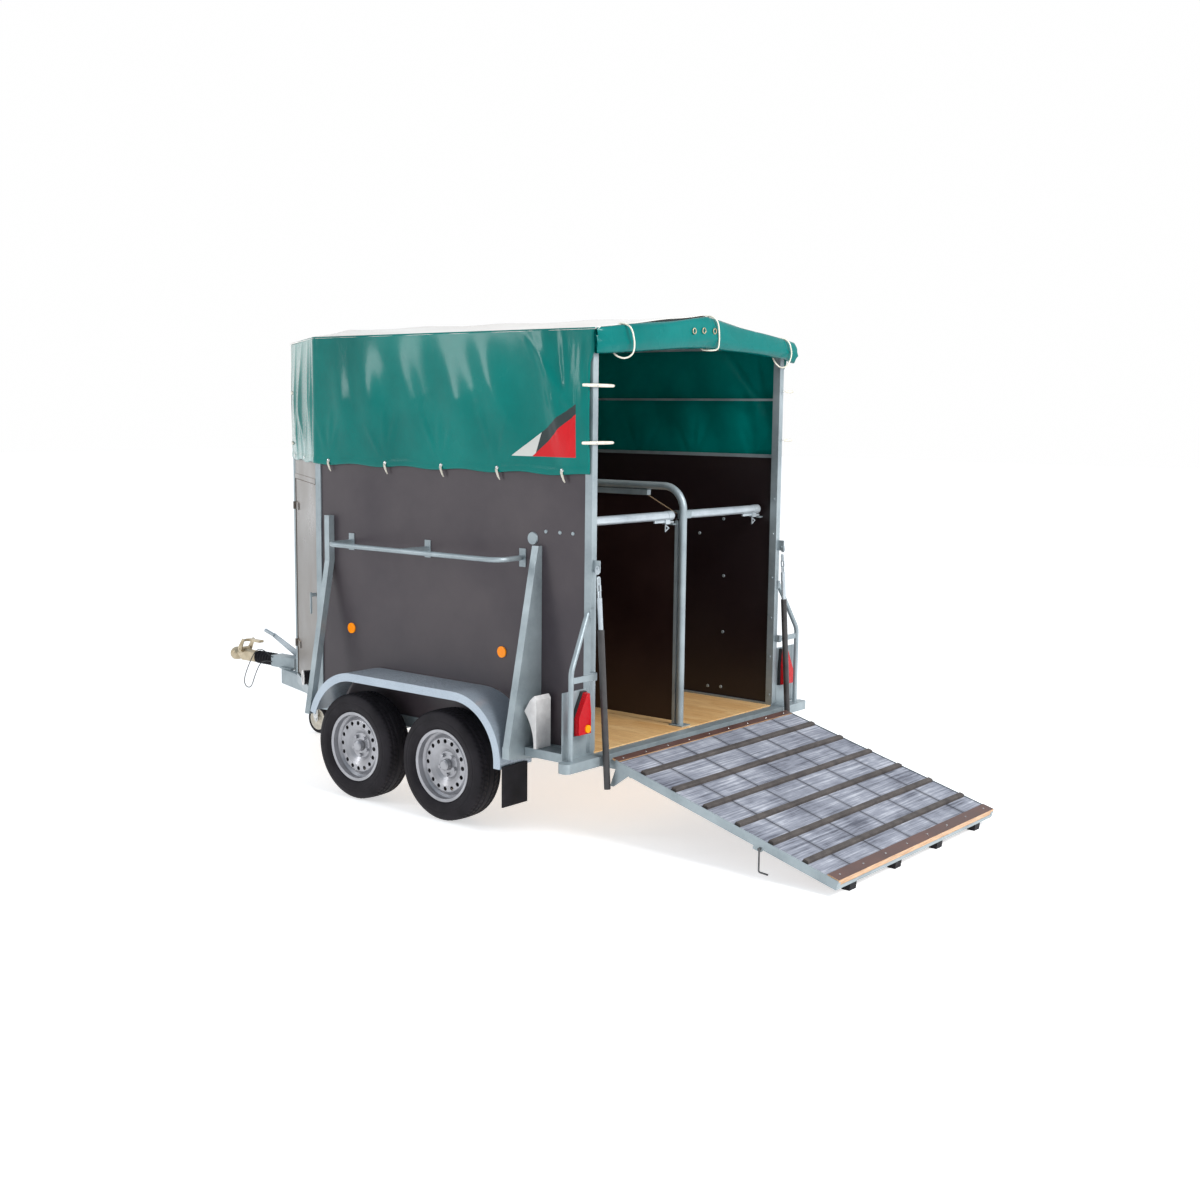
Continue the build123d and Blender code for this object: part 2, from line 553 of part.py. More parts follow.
# ---------------------------------------------------------------- tarpaulin top
CLOTH_X = HALF_WIDTH + 3.0
CLOTH_LOW = 1872.0
CLOTH_OUT = CLOTH_X - WALL_X
CLOTH_TOP = 2592.0
FLAP_LOW = 1869.0
with BuildPart() as tarp_walls:
    for side in (-1, 1):
        low_x, high_x = sorted((side * CLOTH_X, side * (CLOTH_X + CLOTH)))
        block((low_x, REAR + 12, CLOTH_LOW), (high_x, CORNER.Y, CLOTH_TOP))
        slant_strip(6, SLANT_LENGTH + 2, CLOTH_OUT + CLOTH, -CLOTH_OUT, side, CLOTH_LOW, CLOTH_TOP)
    block((-NOSE_HALF - 2, FRONT_Y + 14, FLAP_LOW), (NOSE_HALF + 2, FRONT_Y + 14 + CLOTH, CLOTH_TOP))
save(tarp_walls, "tarp_walls")

ROOF_EDGE = CLOTH_X + 6.0
ROOF_BACK = REAR - 34.0
ROOF_LOW = CLOTH_TOP + 6.0
with BuildPart() as roof_tarp:
    # the space under a gable over the whole length, cut to the plan of the box and the nose
    with BuildSketch(Plane.XZ.offset(-ROOF_BACK)):
        Polygon(
            (-ROOF_EDGE, ROOF_LOW), (ROOF_EDGE, ROOF_LOW), (ROOF_EDGE, ROOF_LOW + CLOTH), (0, RIDGE_Z + 6),
            (-ROOF_EDGE, ROOF_LOW + CLOTH), align=None,
        )
    extrude(amount=-(FRONT_Y + 40 - ROOF_BACK))
    front_edge = (NOSE_HALF + 14, FRONT_Y + 20)
    with BuildSketch(Plane.XY.offset(ROOF_LOW)):
        Polygon(
            (-ROOF_EDGE, ROOF_BACK), (ROOF_EDGE, ROOF_BACK), (ROOF_EDGE, CORNER.Y + 4), front_edge,
            (-front_edge[0], front_edge[1]), (-ROOF_EDGE, CORNER.Y + 4), align=None,
        )
    extrude(amount=RIDGE_Z + 20 - ROOF_LOW, mode=Mode.INTERSECT)
    # three facets bring it down to the eaves round the nose
    ridge_end = Vector(0, REAR + RIDGE_END, RIDGE_Z + 6)
    nose_right = Vector(*front_edge, ROOF_LOW + CLOTH)
    nose_left = Vector(-front_edge[0], front_edge[1], ROOF_LOW + CLOTH)
    box_right = Vector(ROOF_EDGE, CORNER.Y + 4, ROOF_LOW + CLOTH)
    box_left = Vector(-ROOF_EDGE, CORNER.Y + 4, ROOF_LOW + CLOTH)
    for first, second in ((box_right, nose_right), (nose_right, nose_left), (nose_left, box_left)):
        outwards = (second - first).cross(ridge_end - first)
        split(bisect_by=Plane(origin=ridge_end, z_dir=outwards), keep=Keep.BOTTOM)
    # what lies lower than the cloth's thickness is air
    add(roof_tarp.part.moved(Location((0, 0, -CLOTH))), mode=Mode.SUBTRACT)
save(roof_tarp, "roof_tarp")

# rear curtain, rolled up under the gable edge
ROLL_Y = (REAR - 88.0, REAR - 6.0)
with BuildPart() as rear_curtain:
    with BuildSketch(Plane.XZ.offset(-ROLL_Y[0])):
        Polygon(
            (-CLOTH_X, CLOTH_TOP), (0, RIDGE_Z - 8), (CLOTH_X, CLOTH_TOP), (CLOTH_X, 2505),
            (620, 2508), (0, 2528), (-500, 2496), (-CLOTH_X, 2460), align=None,
        )
    extrude(amount=-(ROLL_Y[1] - ROLL_Y[0]))
    fillet(rear_curtain.edges().filter_by(GeomType.LINE).sort_by(Axis.Z)[:1], radius=20)
save(rear_curtain, "rear_curtain")

TIE_R = 4.0
TIES = ((-710.0, 2618.0, 2440.0), (50.0, 2700.0, 2504.0), (770.0, 2610.0, 2486.0))
with BuildPart() as curtain_ties:
    for tie_x, tie_top, tie_low in TIES:
        with BuildLine() as tie:
            FilletPolyline(
                (tie_x, REAR - 34, tie_top + 8), (tie_x, REAR - 98, tie_top - 4),
                (tie_x, REAR - 98, tie_low - 8), (tie_x, REAR - 2, tie_low - 8),
                (tie_x, REAR + 2, tie_low + 26), radius=14,
            )
        with BuildSketch(Plane(origin=tie.line @ 0, z_dir=tie.line % 0)):
            Circle(TIE_R)
        sweep(path=tie.line)
save(curtain_ties, "curtain_ties")

# white straps round the posts and hooks along the lower edge of the cloth
HOOK_YS = (192.0, 641.0, 1056.0, 1499.0, 1978.0)
STRAP_ZS = (2034.0, 2317.0)
STRAP_X = (716.0, 853.0, 970.0)  # inner end, button on the post, outer end
with BuildPart() as tarp_fasteners:
    for side in (-1, 1):
        out_low, out_high = sorted((side * (CLOTH_X + CLOTH), side * (CLOTH_X + CLOTH + 8)))
        for along in HOOK_YS:
            block((out_low, REAR + along - 10, CLOTH_LOW - 26), (out_high, REAR + along + 10, CLOTH_LOW + 34))
        for strap_z in STRAP_ZS:
            inner, button, outer = (side * x for x in STRAP_X)
            block((min(inner, outer), REAR - 9, strap_z - 11), (max(inner, outer), REAR - 6, strap_z + 11))
            block((button - 8, REAR - 6, strap_z - 8), (button + 8, REAR, strap_z + 8))
            slant_strip(SLANT_LENGTH - 120, SLANT_LENGTH - 10, CLOTH_OUT + CLOTH + 4, -CLOTH_OUT - CLOTH,
                        side, strap_z - 11, strap_z + 11)
save(tarp_fasteners, "tarp_fasteners")

# ---------------------------------------------------------------- axles and wheels
PIVOT_X = 878.0
with BuildPart() as axle_tubes:
    for axle_y in AXLES.values():
        with Locations((0, axle_y + ARM_REACH, TYRE_R + ARM_RISE)):
            Box(2 * 862, 78, 78)
        for side in (-1, 1):
            centre = (side * 862, axle_y + ARM_REACH, TYRE_R + ARM_RISE)
            with BuildSketch(Plane(origin=centre, z_dir=(-side, 0, 0))):
                Circle(ARM_SHAFT_R)
            extrude(amount=70, mode=Mode.SUBTRACT)
save(axle_tubes, "axle_tubes")

RIM_HALF = 76.0
VENTS = 16
STUDS = 5
STUD_CIRCLE = 56.0
ARM_X = (882.0, 918.0)


def wheel_plane(side, axle_y):
    """Plane through a wheel's centre: local x points outwards along the axle, local y forwards or back."""
    return Plane(origin=(side * WHEEL_X, axle_y, TYRE_R), x_dir=(side, 0, 0), z_dir=(0, 0, 1))


for place, axle_y in AXLES.items():
    for hand, side in (("left", -1), ("right", 1)):
        plane = wheel_plane(side, axle_y)
        spin = Axis(plane.origin, plane.x_dir)

        with BuildPart() as tyre:
            with BuildSketch(plane):
                with BuildLine():
                    Polyline((-72, 245), (-62, 205), (-50, 184.5), (-69.2, 184.5), (-70.5, 199), (-88, 218))
                    ThreePointArc((-88, 218), (-92.5, 246), (-84, 276))
                    ThreePointArc((-84, 276), (-79, 290), (-66, 298))
                    ThreePointArc((-66, 298), (0, TYRE_R), (66, 298))
                    ThreePointArc((66, 298), (79, 290), (84, 276))
                    ThreePointArc((84, 276), (92.5, 246), (88, 218))
                    Polyline((88, 218), (70.5, 199), (69.2, 184.5), (50, 184.5), (62, 205))
                    Polyline((62, 205), (72, 245), (64, 284), (-64, 284), (-72, 245))
                make_face()
            revolve(axis=spin)
        save(tyre, f"tyre_{place}_{hand}")

        with BuildPart() as rim:
            with BuildSketch(plane):
                with BuildLine():
                    Polyline(
                        (-RIM_HALF, 196), (-RIM_HALF + 3, 180), (-48, 178), (-40, 164), (30, 164), (42, 178),
                        (RIM_HALF - 3, 180), (RIM_HALF, 196),
                    )
                    offset(amount=4, side=Side.LEFT)
                make_face()
                with BuildLine():
                    Polyline((22, 33), (22, 72), (34, 92), (44, 116), (42, 144), (24, 166))
                    offset(amount=5, side=Side.RIGHT)
                make_face()
            revolve(axis=spin)
            with BuildSketch(Plane(origin=plane.origin, z_dir=plane.x_dir)):
                with PolarLocations(130, VENTS):
                    Circle(12)
                with PolarLocations(STUD_CIRCLE, STUDS):
                    Circle(7)
            extrude(amount=100, both=True, mode=Mode.SUBTRACT)
            # brake drum and hub, turning on the stub axle
            with BuildSketch(plane):
                with BuildLine():
                    Polyline(
                        (-44, STUB_R + RUN), (-44, 100), (4, 100), (4, 76), (21.9, 76), (21.9, 30), (56, 30),
                        (62, 22), (62, 0), (-2, 0), (-2, STUB_R + RUN), close=True,
                    )
                make_face()
            revolve(axis=spin)
            with BuildSketch(Plane(origin=plane.origin + plane.x_dir * 21.9, z_dir=plane.x_dir)):
                with PolarLocations(STUD_CIRCLE, STUDS):
                    Circle(6)
            extrude(amount=8)
            with BuildSketch(Plane(origin=plane.origin + plane.x_dir * 27.2, z_dir=plane.x_dir)):
                with PolarLocations(STUD_CIRCLE, STUDS):
                    RegularPolygon(11, 6)
            extrude(amount=14)
        save(rim, f"rim_{place}_{hand}")

        with BuildPart() as arm:
            with BuildSketch(Plane(origin=(side * ARM_X[0], 0, 0), x_dir=(0, 1, 0), z_dir=(side, 0, 0))):
                pivot = (axle_y + ARM_REACH, side * (TYRE_R + ARM_RISE))
                stub = (axle_y, side * TYRE_R)
                for spot, radius in ((pivot, 38), (stub, 34)):
                    with Locations(spot):
                        Circle(radius)
                middle = ((pivot[0] + stub[0]) / 2, (pivot[1] + stub[1]) / 2)
                tilt = degrees(atan2(pivot[1] - stub[1], pivot[0] - stub[0]))
                with Locations(Location((*middle, 0), (0, 0, tilt))):
                    Rectangle(hypot(ARM_REACH, ARM_RISE), 56)
            extrude(amount=ARM_X[1] - ARM_X[0])
            bar((side * (ARM_X[0] + 1), axle_y + ARM_REACH, TYRE_R + ARM_RISE),
                (side * 800, axle_y + ARM_REACH, TYRE_R + ARM_RISE), ARM_SHAFT_R - RUN)
            bar((side * (ARM_X[1] - 1), axle_y, TYRE_R), (side * (WHEEL_X - 4), axle_y, TYRE_R), STUB_R)
        save(arm, f"arm_{place}_{hand}")

# ---------------------------------------------------------------- ramp
ramp_plane = Plane(origin=(0, *RAMP_TOP_EDGE), x_dir=(1, 0, 0), z_dir=(0, -s, c))
BOARD_TOP = -10.0
MAT_TOP = -4.0


def ramp_block(low_x, high_x, near, far, low, high):
    """A block in the ramp's own plane: distances near and far run down the ramp, low and high stand on it."""
    with BuildSketch(ramp_plane.offset(low)) as footprint:
        with Locations(((low_x + high_x) / 2, -(near + far) / 2)):
            Rectangle(high_x - low_x, far - near)
    extrude(footprint.sketch, amount=high - low)


RAIL_W = 28.0
CROSS_BARS = (45.0, 480.0, 900.0)
with BuildPart() as ramp_frame:
    for side in (-1, 1):
        low_x, high_x = sorted((side * (RAMP_HALF - RAIL_W), side * RAMP_HALF))
        ramp_block(low_x, high_x, 24, RAMP_LENGTH, -47, -10.5)
        low_x, high_x = sorted((side * (RAMP_HALF - 4), side * RAMP_HALF))
        ramp_block(low_x, high_x, 24, RAMP_LENGTH, -20, -1)
    ramp_block(-RAMP_HALF, RAMP_HALF, RAMP_LENGTH - 30, RAMP_LENGTH, -47, -26.5)
    for near in CROSS_BARS:
        ramp_block(-RAMP_HALF + 2, RAMP_HALF - 2, near, near + 40, -47, -26.5)
    # hinge tubes between the ears of the rear beam, webbed to the first cross bar
    for tube_low, tube_high in ((min(EARS) + 7, -7), (7, max(EARS) - 7)):
        with BuildSketch(Plane(origin=(tube_low, HINGE_Y, HINGE_Z), z_dir=(1, 0, 0))):
            Circle(15)
            Circle(PIN_R + RUN, mode=Mode.SUBTRACT)
        extrude(amount=tube_high - tube_low)
    for web_x in (-700, -350, 350, 700):
        ramp_block(web_x - 5, web_x + 5, 9, 47, -40, -27)
    # levers of the lifting springs and the bar that joins them
    for side in (-1, 1):
        with BuildSketch(Plane.YZ.offset(side * (RAMP_HALF - 4) - 4)):
            Polygon(
                (REAR - 138, 410), (REAR - 232, 382), (REAR - 120, 300), (REAR - 98, 300), align=None,
            )
        extrude(amount=8)
        ramp_block(*sorted((side * (RAMP_HALF - 24), side * (RAMP_HALF - 1))), 906, 950, -64, -44)
    bar((-RAMP_HALF + 6, REAR - 225, 372), (RAMP_HALF - 6, REAR - 225, 372), 12)
save(ramp_frame, "ramp_frame")

with BuildPart() as ramp_board:
    ramp_block(-RAMP_HALF + RAIL_W + 1, RAMP_HALF - RAIL_W - 1, 26, RAMP_LENGTH - 1, -26, BOARD_TOP - 0.2)
    ramp_block(-RAMP_HALF + 5, RAMP_HALF - 5, 0, 43, BOARD_TOP, 0)
    ramp_block(-RAMP_HALF + 5, RAMP_HALF - 5, 1309, RAMP_LENGTH, BOARD_TOP, 4)
save(ramp_board, "ramp_board")

with BuildPart() as ramp_mat:
    ramp_block(-RAMP_HALF + 6, RAMP_HALF - 6, 44, 1308, BOARD_TOP, MAT_TOP)
    for step in range(1, BATTENS + 1):
        along = step * BATTEN_PITCH
        ramp_block(-RAMP_HALF + 12, RAMP_HALF - 12, along - 18, along + 18, MAT_TOP, BATTEN_TOP)
save(ramp_mat, "ramp_mat")

FEET_X = (-660.0, -220.0, 220.0, 660.0)
FOOT_HALF = 30.0
with BuildPart() as ramp_feet:
    underside = ramp_plane.origin + ramp_plane.z_dir * -47.2 - ramp_plane.y_dir * (RAMP_LENGTH - 2)
    rise = ramp_plane.y_dir * 52
    for foot_x in FEET_X:
        with BuildSketch(Plane.YZ.offset(foot_x - FOOT_HALF)):
            Polygon(
                (underside.Y, underside.Z), (underside.Y + rise.Y, underside.Z + rise.Z),
                (underside.Y + rise.Y - 4, 0), (underside.Y + 4, 0), align=None,
            )
        extrude(amount=2 * FOOT_HALF)
save(ramp_feet, "ramp_feet")

# hooked locking rods hanging from the ramp's sides
LATCH_Y = REAR - 1008.0
LATCH_Z = 150.0
LATCH_X = 833.0
LATCH_R = 4.5
for hand, side in (("left", -1), ("right", 1)):
    with BuildPart() as latch:
        bar((side * (RAMP_HALF + 1), LATCH_Y, LATCH_Z), (side * (LATCH_X + 4), LATCH_Y, LATCH_Z), 8)
        with BuildLine() as rod:
            FilletPolyline(
                (side * LATCH_X, LATCH_Y, LATCH_Z), (side * LATCH_X, LATCH_Y, 40),
                (side * LATCH_X, LATCH_Y - 52, 36), radius=9,
            )
        with BuildSketch(Plane(origin=rod.line @ 0, z_dir=rod.line % 0)):
            Circle(LATCH_R)
        sweep(path=rod.line)
    save(latch, f"ramp_latch_{hand}")

# lifting springs: a rod hooked to the post by a short chain, in a black sleeve that houses the spring
strut_run = Vector(0, STRUT_TOP[0] - STRUT_END[0], STRUT_TOP[1] - STRUT_END[1])
STRUT_LENGTH = strut_run.length
strut_up = strut_run.normalized()
SLEEVE_TOP = STRUT_LENGTH - 310.0
ROD_TOP = STRUT_LENGTH - 150.0
ROD_R = 12.5
SLEEVE_R = 17.0


def on_strut(side, along, off=0.0):
    """A point of a lifting spring's axis, measured up from its lower end."""
    spot = Vector(0, *STRUT_END) + strut_up * along
    return (side * STRUT_X + off, spot.Y, spot.Z)


with BuildPart() as spring_sleeves:
    for side in (-1, 1):
        with BuildSketch(Plane(origin=on_strut(side, 0), z_dir=strut_up)):
            Circle(SLEEVE_R)
        extrude(amount=SLEEVE_TOP)
        with BuildSketch(Plane(origin=on_strut(side, 40), z_dir=strut_up)):
            Circle(ROD_R + 0.5)
        extrude(amount=SLEEVE_TOP, mode=Mode.SUBTRACT)
save(spring_sleeves, "spring_sleeves")

LINKS = 3
LINK_PITCH = 36.0
with BuildPart() as spring_rods:
    for side in (-1, 1):
        bar(on_strut(side, 240), on_strut(side, ROD_TOP), ROD_R)
        for link in range(LINKS):
            across = (1, 0, 0) if link % 2 else tuple(strut_up.cross(Vector(1, 0, 0)))
            centre = on_strut(side, ROD_TOP + 14 + link * LINK_PITCH)
            with BuildSketch(Plane(origin=centre, x_dir=strut_up, z_dir=across)):
                SlotOverall(46, 22)
                SlotOverall(34, 10, mode=Mode.SUBTRACT)
            extrude(amount=3, both=True)
        eye = (side * (STRUT_X + 8), *STRUT_TOP)
        with BuildSketch(Plane(origin=eye, x_dir=strut_up, z_dir=(1, 0, 0))):
            with Locations((-10, 0)):
                SlotOverall(44, 24)
            Circle(HOOK_PIN_R + RUN + 0.02, mode=Mode.SUBTRACT)
        extrude(amount=2, both=True)
save(spring_rods, "spring_rods")

# ---------------------------------------------------------------- drawbar head
HOUSING_Y = (REAR + 3340.0, REAR + 3590.0)
BRAKE_Y, BRAKE_Z = REAR + 3400.0, 466.0
BRAKE_PIN_R = 8.0
TUBE_OUT = 25.0
with BuildPart() as overrun_housing:
    block((-50, HOUSING_Y[0], BEAM_Z[1]), (50, HOUSING_Y[1], DRAW_Z + 40))
    block((-74, HOUSING_Y[0] + 10, BEAM_Z[1]), (74, HOUSING_Y[0] + 130, BEAM_Z[1] + 10))
    with BuildSketch(Plane(origin=(0, HOUSING_Y[0], DRAW_Z), z_dir=(0, 1, 0))):
        Circle(TUBE_OUT + RUN)
    extrude(amount=HOUSING_Y[1] - HOUSING_Y[0], mode=Mode.SUBTRACT)
    bar((49, BRAKE_Y, BRAKE_Z), (68, BRAKE_Y, BRAKE_Z), BRAKE_PIN_R)
save(overrun_housing, "overrun_housing")

COUPLING_BACK = REAR + 3800.0
LEVER_Y, LEVER_Z = REAR + 3950.0, DRAW_Z + 44.0
LEVER_PIN_R = 6.0
SOCKET_R = 25.2
with BuildPart() as coupling_head:
    bar((0, HOUSING_Y[0] + 100, DRAW_Z), (0, COUPLING_BACK + 20, DRAW_Z), TUBE_OUT)
    with BuildSketch(Plane(origin=(0, COUPLING_BACK, DRAW_Z), z_dir=(0, 1, 0))):
        RectangleRounded(78, 66, 20)
    with BuildSketch(Plane(origin=(0, REAR + 3960, DRAW_Z), z_dir=(0, 1, 0))):
        RectangleRounded(84, 58, 20)
    loft()
    with Locations((0, BALL_Y, DRAW_Z - 2)):
        Sphere(48)
    bar((0, REAR + 3950, DRAW_Z), (0, BALL_Y, DRAW_Z), 29)
    block((-40, LEVER_Y - 14, DRAW_Z + 20), (40, LEVER_Y + 14, LEVER_Z + 12))
    bar((-52, LEVER_Y, LEVER_Z), (52, LEVER_Y, LEVER_Z), LEVER_PIN_R)
    with Locations((0, BALL_Y, DRAW_Z - 12)):
        Sphere(SOCKET_R, mode=Mode.SUBTRACT)
    with BuildSketch(Plane.XY.offset(DRAW_Z - 60)):
        with Locations((0, BALL_Y)):
            Circle(SOCKET_R)
    extrude(amount=48, mode=Mode.SUBTRACT)
save(coupling_head, "coupling_head")

with BuildPart() as coupling_handle:
    for side in (-1, 1):
        with BuildSketch(Plane.YZ.offset(side * 46 - 3)):
            Polygon(
                (LEVER_Y + 16, LEVER_Z - 14), (LEVER_Y + 16, LEVER_Z + 12), (LEVER_Y - 34, LEVER_Z + 78),
                (LEVER_Y - 56, LEVER_Z + 70), (LEVER_Y - 16, LEVER_Z - 14), align=None,
            )
            with Locations((LEVER_Y, LEVER_Z)):
                Circle(LEVER_PIN_R + RUN, mode=Mode.SUBTRACT)
        extrude(amount=6)
    bar((-49, LEVER_Y - 44, LEVER_Z + 66), (49, LEVER_Y - 44, LEVER_Z + 66), 9)
    block((-20, LEVER_Y - 190, LEVER_Z + 60), (20, LEVER_Y - 40, LEVER_Z + 76))
save(coupling_handle, "coupling_handle")

with BuildPart() as bellows:
    folds = 7
    pitch = (COUPLING_BACK - HOUSING_Y[1] - 1) / folds
    with BuildSketch(Plane(origin=(0, HOUSING_Y[1] + 0.5, DRAW_Z), x_dir=(0, 1, 0), z_dir=(-1, 0, 0))):
        with BuildLine():
            waves = [(fold * pitch / 2, 46 if fold % 2 else 36) for fold in range(2 * folds + 1)]
            Polyline(*waves, (folds * pitch, 28), (0, 28), close=True)
        make_face()
    revolve(axis=Axis((0, 0, DRAW_Z), (0, 1, 0)))
save(bellows, "bellows")

with BuildPart() as handbrake_lever:
    with BuildSketch(Plane.YZ.offset(54)):
        Polygon(
            (BRAKE_Y - 20, BRAKE_Z - 20), (BRAKE_Y + 20, BRAKE_Z - 22), (BRAKE_Y + 300, BRAKE_Z + 108),
            (BRAKE_Y + 290, BRAKE_Z + 136), (BRAKE_Y - 12, BRAKE_Z + 18), align=None,
        )
        with Locations((BRAKE_Y, BRAKE_Z)):
            Circle(BRAKE_PIN_R + RUN, mode=Mode.SUBTRACT)
    extrude(amount=9)
    grip_start = (58.5, BRAKE_Y + 285, BRAKE_Z + 118)
    grip_end = (58.5, BRAKE_Y + 385, BRAKE_Z + 146)
    bar(grip_start, grip_end, 13)
save(handbrake_lever, "handbrake_lever")

# breakaway cable: leaves the housing's left side, hangs in a long loop and returns to it
CABLE_R = 3.0
CABLE_ROUTE = [
    (-50, REAR + 3570, 452), (-76, REAR + 3590, 478), (-84, REAR + 3640, 506), (-86, REAR + 3700, 500),
    (-87, REAR + 3750, 448), (-88, REAR + 3790, 385), (-90, REAR + 3828, 315), (-91, REAR + 3848, 258),
    (-84, REAR + 3838, 218), (-75, REAR + 3804, 210), (-72, REAR + 3778, 238), (-70, REAR + 3752, 300),
    (-68, REAR + 3718, 362),
    (-66, REAR + 3680, 410), (-62, REAR + 3620, 426), (-50, REAR + 3580, 420),
]
with BuildPart() as breakaway_cable:
    points = [Vector(*spot) for spot in CABLE_ROUTE]
    radii = []
    for before, here, after in zip(points, points[1:], points[2:]):
        run_in, run_out = here - before, after - here
        turn = radians(run_in.get_angle(run_out))
        radii.append(0.45 * min(run_in.length, run_out.length) / tan(turn / 2))
    print("breakaway cable radii", [round(radius, 1) for radius in radii])
    with BuildLine() as cable:
        FilletPolyline(*points, radius=radii)
    with BuildSketch(Plane(origin=cable.line @ 0, z_dir=cable.line % 0)):
        Circle(CABLE_R)
    sweep(path=cable.line)
    print("breakaway cable length", round(sum(edge.length for edge in cable.edges()), 1))
save(breakaway_cable, "breakaway_cable")

# jockey wheel: clamped leg, fork, wheel
JOCKEY_R = 100.0
JOCKEY_TRAIL = 45.0
with BuildPart() as jockey_leg:
    bar((*JOCKEY, 215), (*JOCKEY, 560), LEG_R)
    bar((*JOCKEY, 559), (*JOCKEY, 590), 10)
    block((JOCKEY[0] - 8, JOCKEY[1] - 4, 588), (JOCKEY[0] + 90, JOCKEY[1] + 4, 596))
    bar((JOCKEY[0] + 84, JOCKEY[1], 590), (JOCKEY[0] + 84, JOCKEY[1], 650), 9)
save(jockey_leg, "jockey_leg")

FORK_HALF = 32.0
with BuildPart() as jockey_fork:
    bar((*JOCKEY, 206), (*JOCKEY, 214.7), 19)
    block((JOCKEY[0] - FORK_HALF - 4, JOCKEY[1] - JOCKEY_TRAIL - 18, 206.5),
          (JOCKEY[0] + FORK_HALF + 4, JOCKEY[1] + 20, 212))
    for side in (-1, 1):
        start = JOCKEY[0] + side * (FORK_HALF + 2) - 2
        with BuildSketch(Plane.YZ.offset(start)):
            Polygon(
                (JOCKEY[1] + 18, 208), (JOCKEY[1] - JOCKEY_TRAIL + 16, 92),
                (JOCKEY[1] - JOCKEY_TRAIL - 16, 92), (JOCKEY[1] - JOCKEY_TRAIL - 18, 208),
                align=None,
            )
            with Locations((JOCKEY[1] - JOCKEY_TRAIL, JOCKEY_R)):
                Circle(16)
        extrude(amount=4)
    axle_y = JOCKEY[1] - JOCKEY_TRAIL
    bar((JOCKEY[0] - FORK_HALF - 8, axle_y, JOCKEY_R), (JOCKEY[0] + FORK_HALF + 8, axle_y, JOCKEY_R), 6)
save(jockey_fork, "jockey_fork")

with BuildPart() as jockey_wheel:
    with BuildSketch(Plane(origin=(JOCKEY[0], JOCKEY[1] - JOCKEY_TRAIL, JOCKEY_R), z_dir=(0, 0, 1))):
        with BuildLine():
            Polyline((-26, 6 + RUN), (-26, 18), (-14, 24), (-14, 62), (-24, 70), (-24, 86))
            ThreePointArc((-24, 86), (0, JOCKEY_R), (24, 86))
            Polyline((24, 86), (24, 70), (14, 62), (14, 24), (26, 18), (26, 6 + RUN), (-26, 6 + RUN))
        make_face()
    revolve(axis=Axis((0, JOCKEY[1] - JOCKEY_TRAIL, JOCKEY_R), (1, 0, 0)))
save(jockey_wheel, "jockey_wheel")
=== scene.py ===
import math

import bmesh
import bpy
import numpy as np
from mathutils import Matrix, Vector


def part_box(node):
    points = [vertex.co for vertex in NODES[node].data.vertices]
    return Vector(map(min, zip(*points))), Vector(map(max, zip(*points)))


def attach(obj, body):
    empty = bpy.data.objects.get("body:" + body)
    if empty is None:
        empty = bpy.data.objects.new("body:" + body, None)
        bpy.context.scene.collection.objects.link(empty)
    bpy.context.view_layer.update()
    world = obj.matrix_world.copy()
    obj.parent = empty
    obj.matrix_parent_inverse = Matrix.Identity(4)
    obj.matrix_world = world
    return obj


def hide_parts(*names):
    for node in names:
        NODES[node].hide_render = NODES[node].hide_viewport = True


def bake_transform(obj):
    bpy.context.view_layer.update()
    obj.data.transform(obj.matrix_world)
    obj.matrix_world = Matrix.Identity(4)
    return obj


# Looks of the two-stall livestock trailer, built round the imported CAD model. Metres.
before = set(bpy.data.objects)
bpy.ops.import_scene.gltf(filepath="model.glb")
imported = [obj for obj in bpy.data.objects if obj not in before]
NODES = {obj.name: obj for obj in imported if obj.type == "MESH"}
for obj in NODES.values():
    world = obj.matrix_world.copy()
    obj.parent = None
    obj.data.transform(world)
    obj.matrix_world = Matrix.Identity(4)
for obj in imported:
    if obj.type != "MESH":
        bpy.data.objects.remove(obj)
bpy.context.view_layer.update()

# driving places, the same as in the CAD source; plan corners are those of the right side
POST_DEPTH = 0.045
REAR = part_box("side_walls")[0].y - POST_DEPTH
CORNER = Vector((0.8655, REAR + 2.106))
FRONT = Vector((0.3735, REAR + 2.905))
NOSE_ALONG = (FRONT - CORNER).normalized()
NOSE_OUT = Vector((NOSE_ALONG.y, -NOSE_ALONG.x))
SIDES = (("left", -1), ("right", 1))
WHEEL_X, TYRE_R = 1.020, 0.301
AXLES = {"rear": REAR + 0.842, "front": REAR + 1.534}
SLOPE = math.radians(15.4)  # of the lowered ramp

# the tarpaulin: hem and eave of the side sheets, and the roof cloth over its CAD shape
CLOTH_LOW, CLOTH_TOP, CLOTH_THICKNESS = 1.872, 2.600, 0.0012
ROOF_LOW, ROOF_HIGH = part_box("roof_tarp")
ROOF_EDGE, ROOF_BACK, ROOF_FRONT = ROOF_HIGH.x, ROOF_LOW.y, ROOF_HIGH.y
RIDGE_TOP, EAVE_TOP = ROOF_HIGH.z, ROOF_LOW.z + 0.004
RIDGE_END = REAR + 2.795
ROOF_BEND = CORNER.y + 0.004
NOSE_EDGE = FRONT.x + 0.014


def add_object(name, data):
    """Makes an object of a mesh, curve, camera or light and links it to the scene."""
    ob = bpy.data.objects.new(name, data)
    bpy.context.scene.collection.objects.link(ob)
    return ob


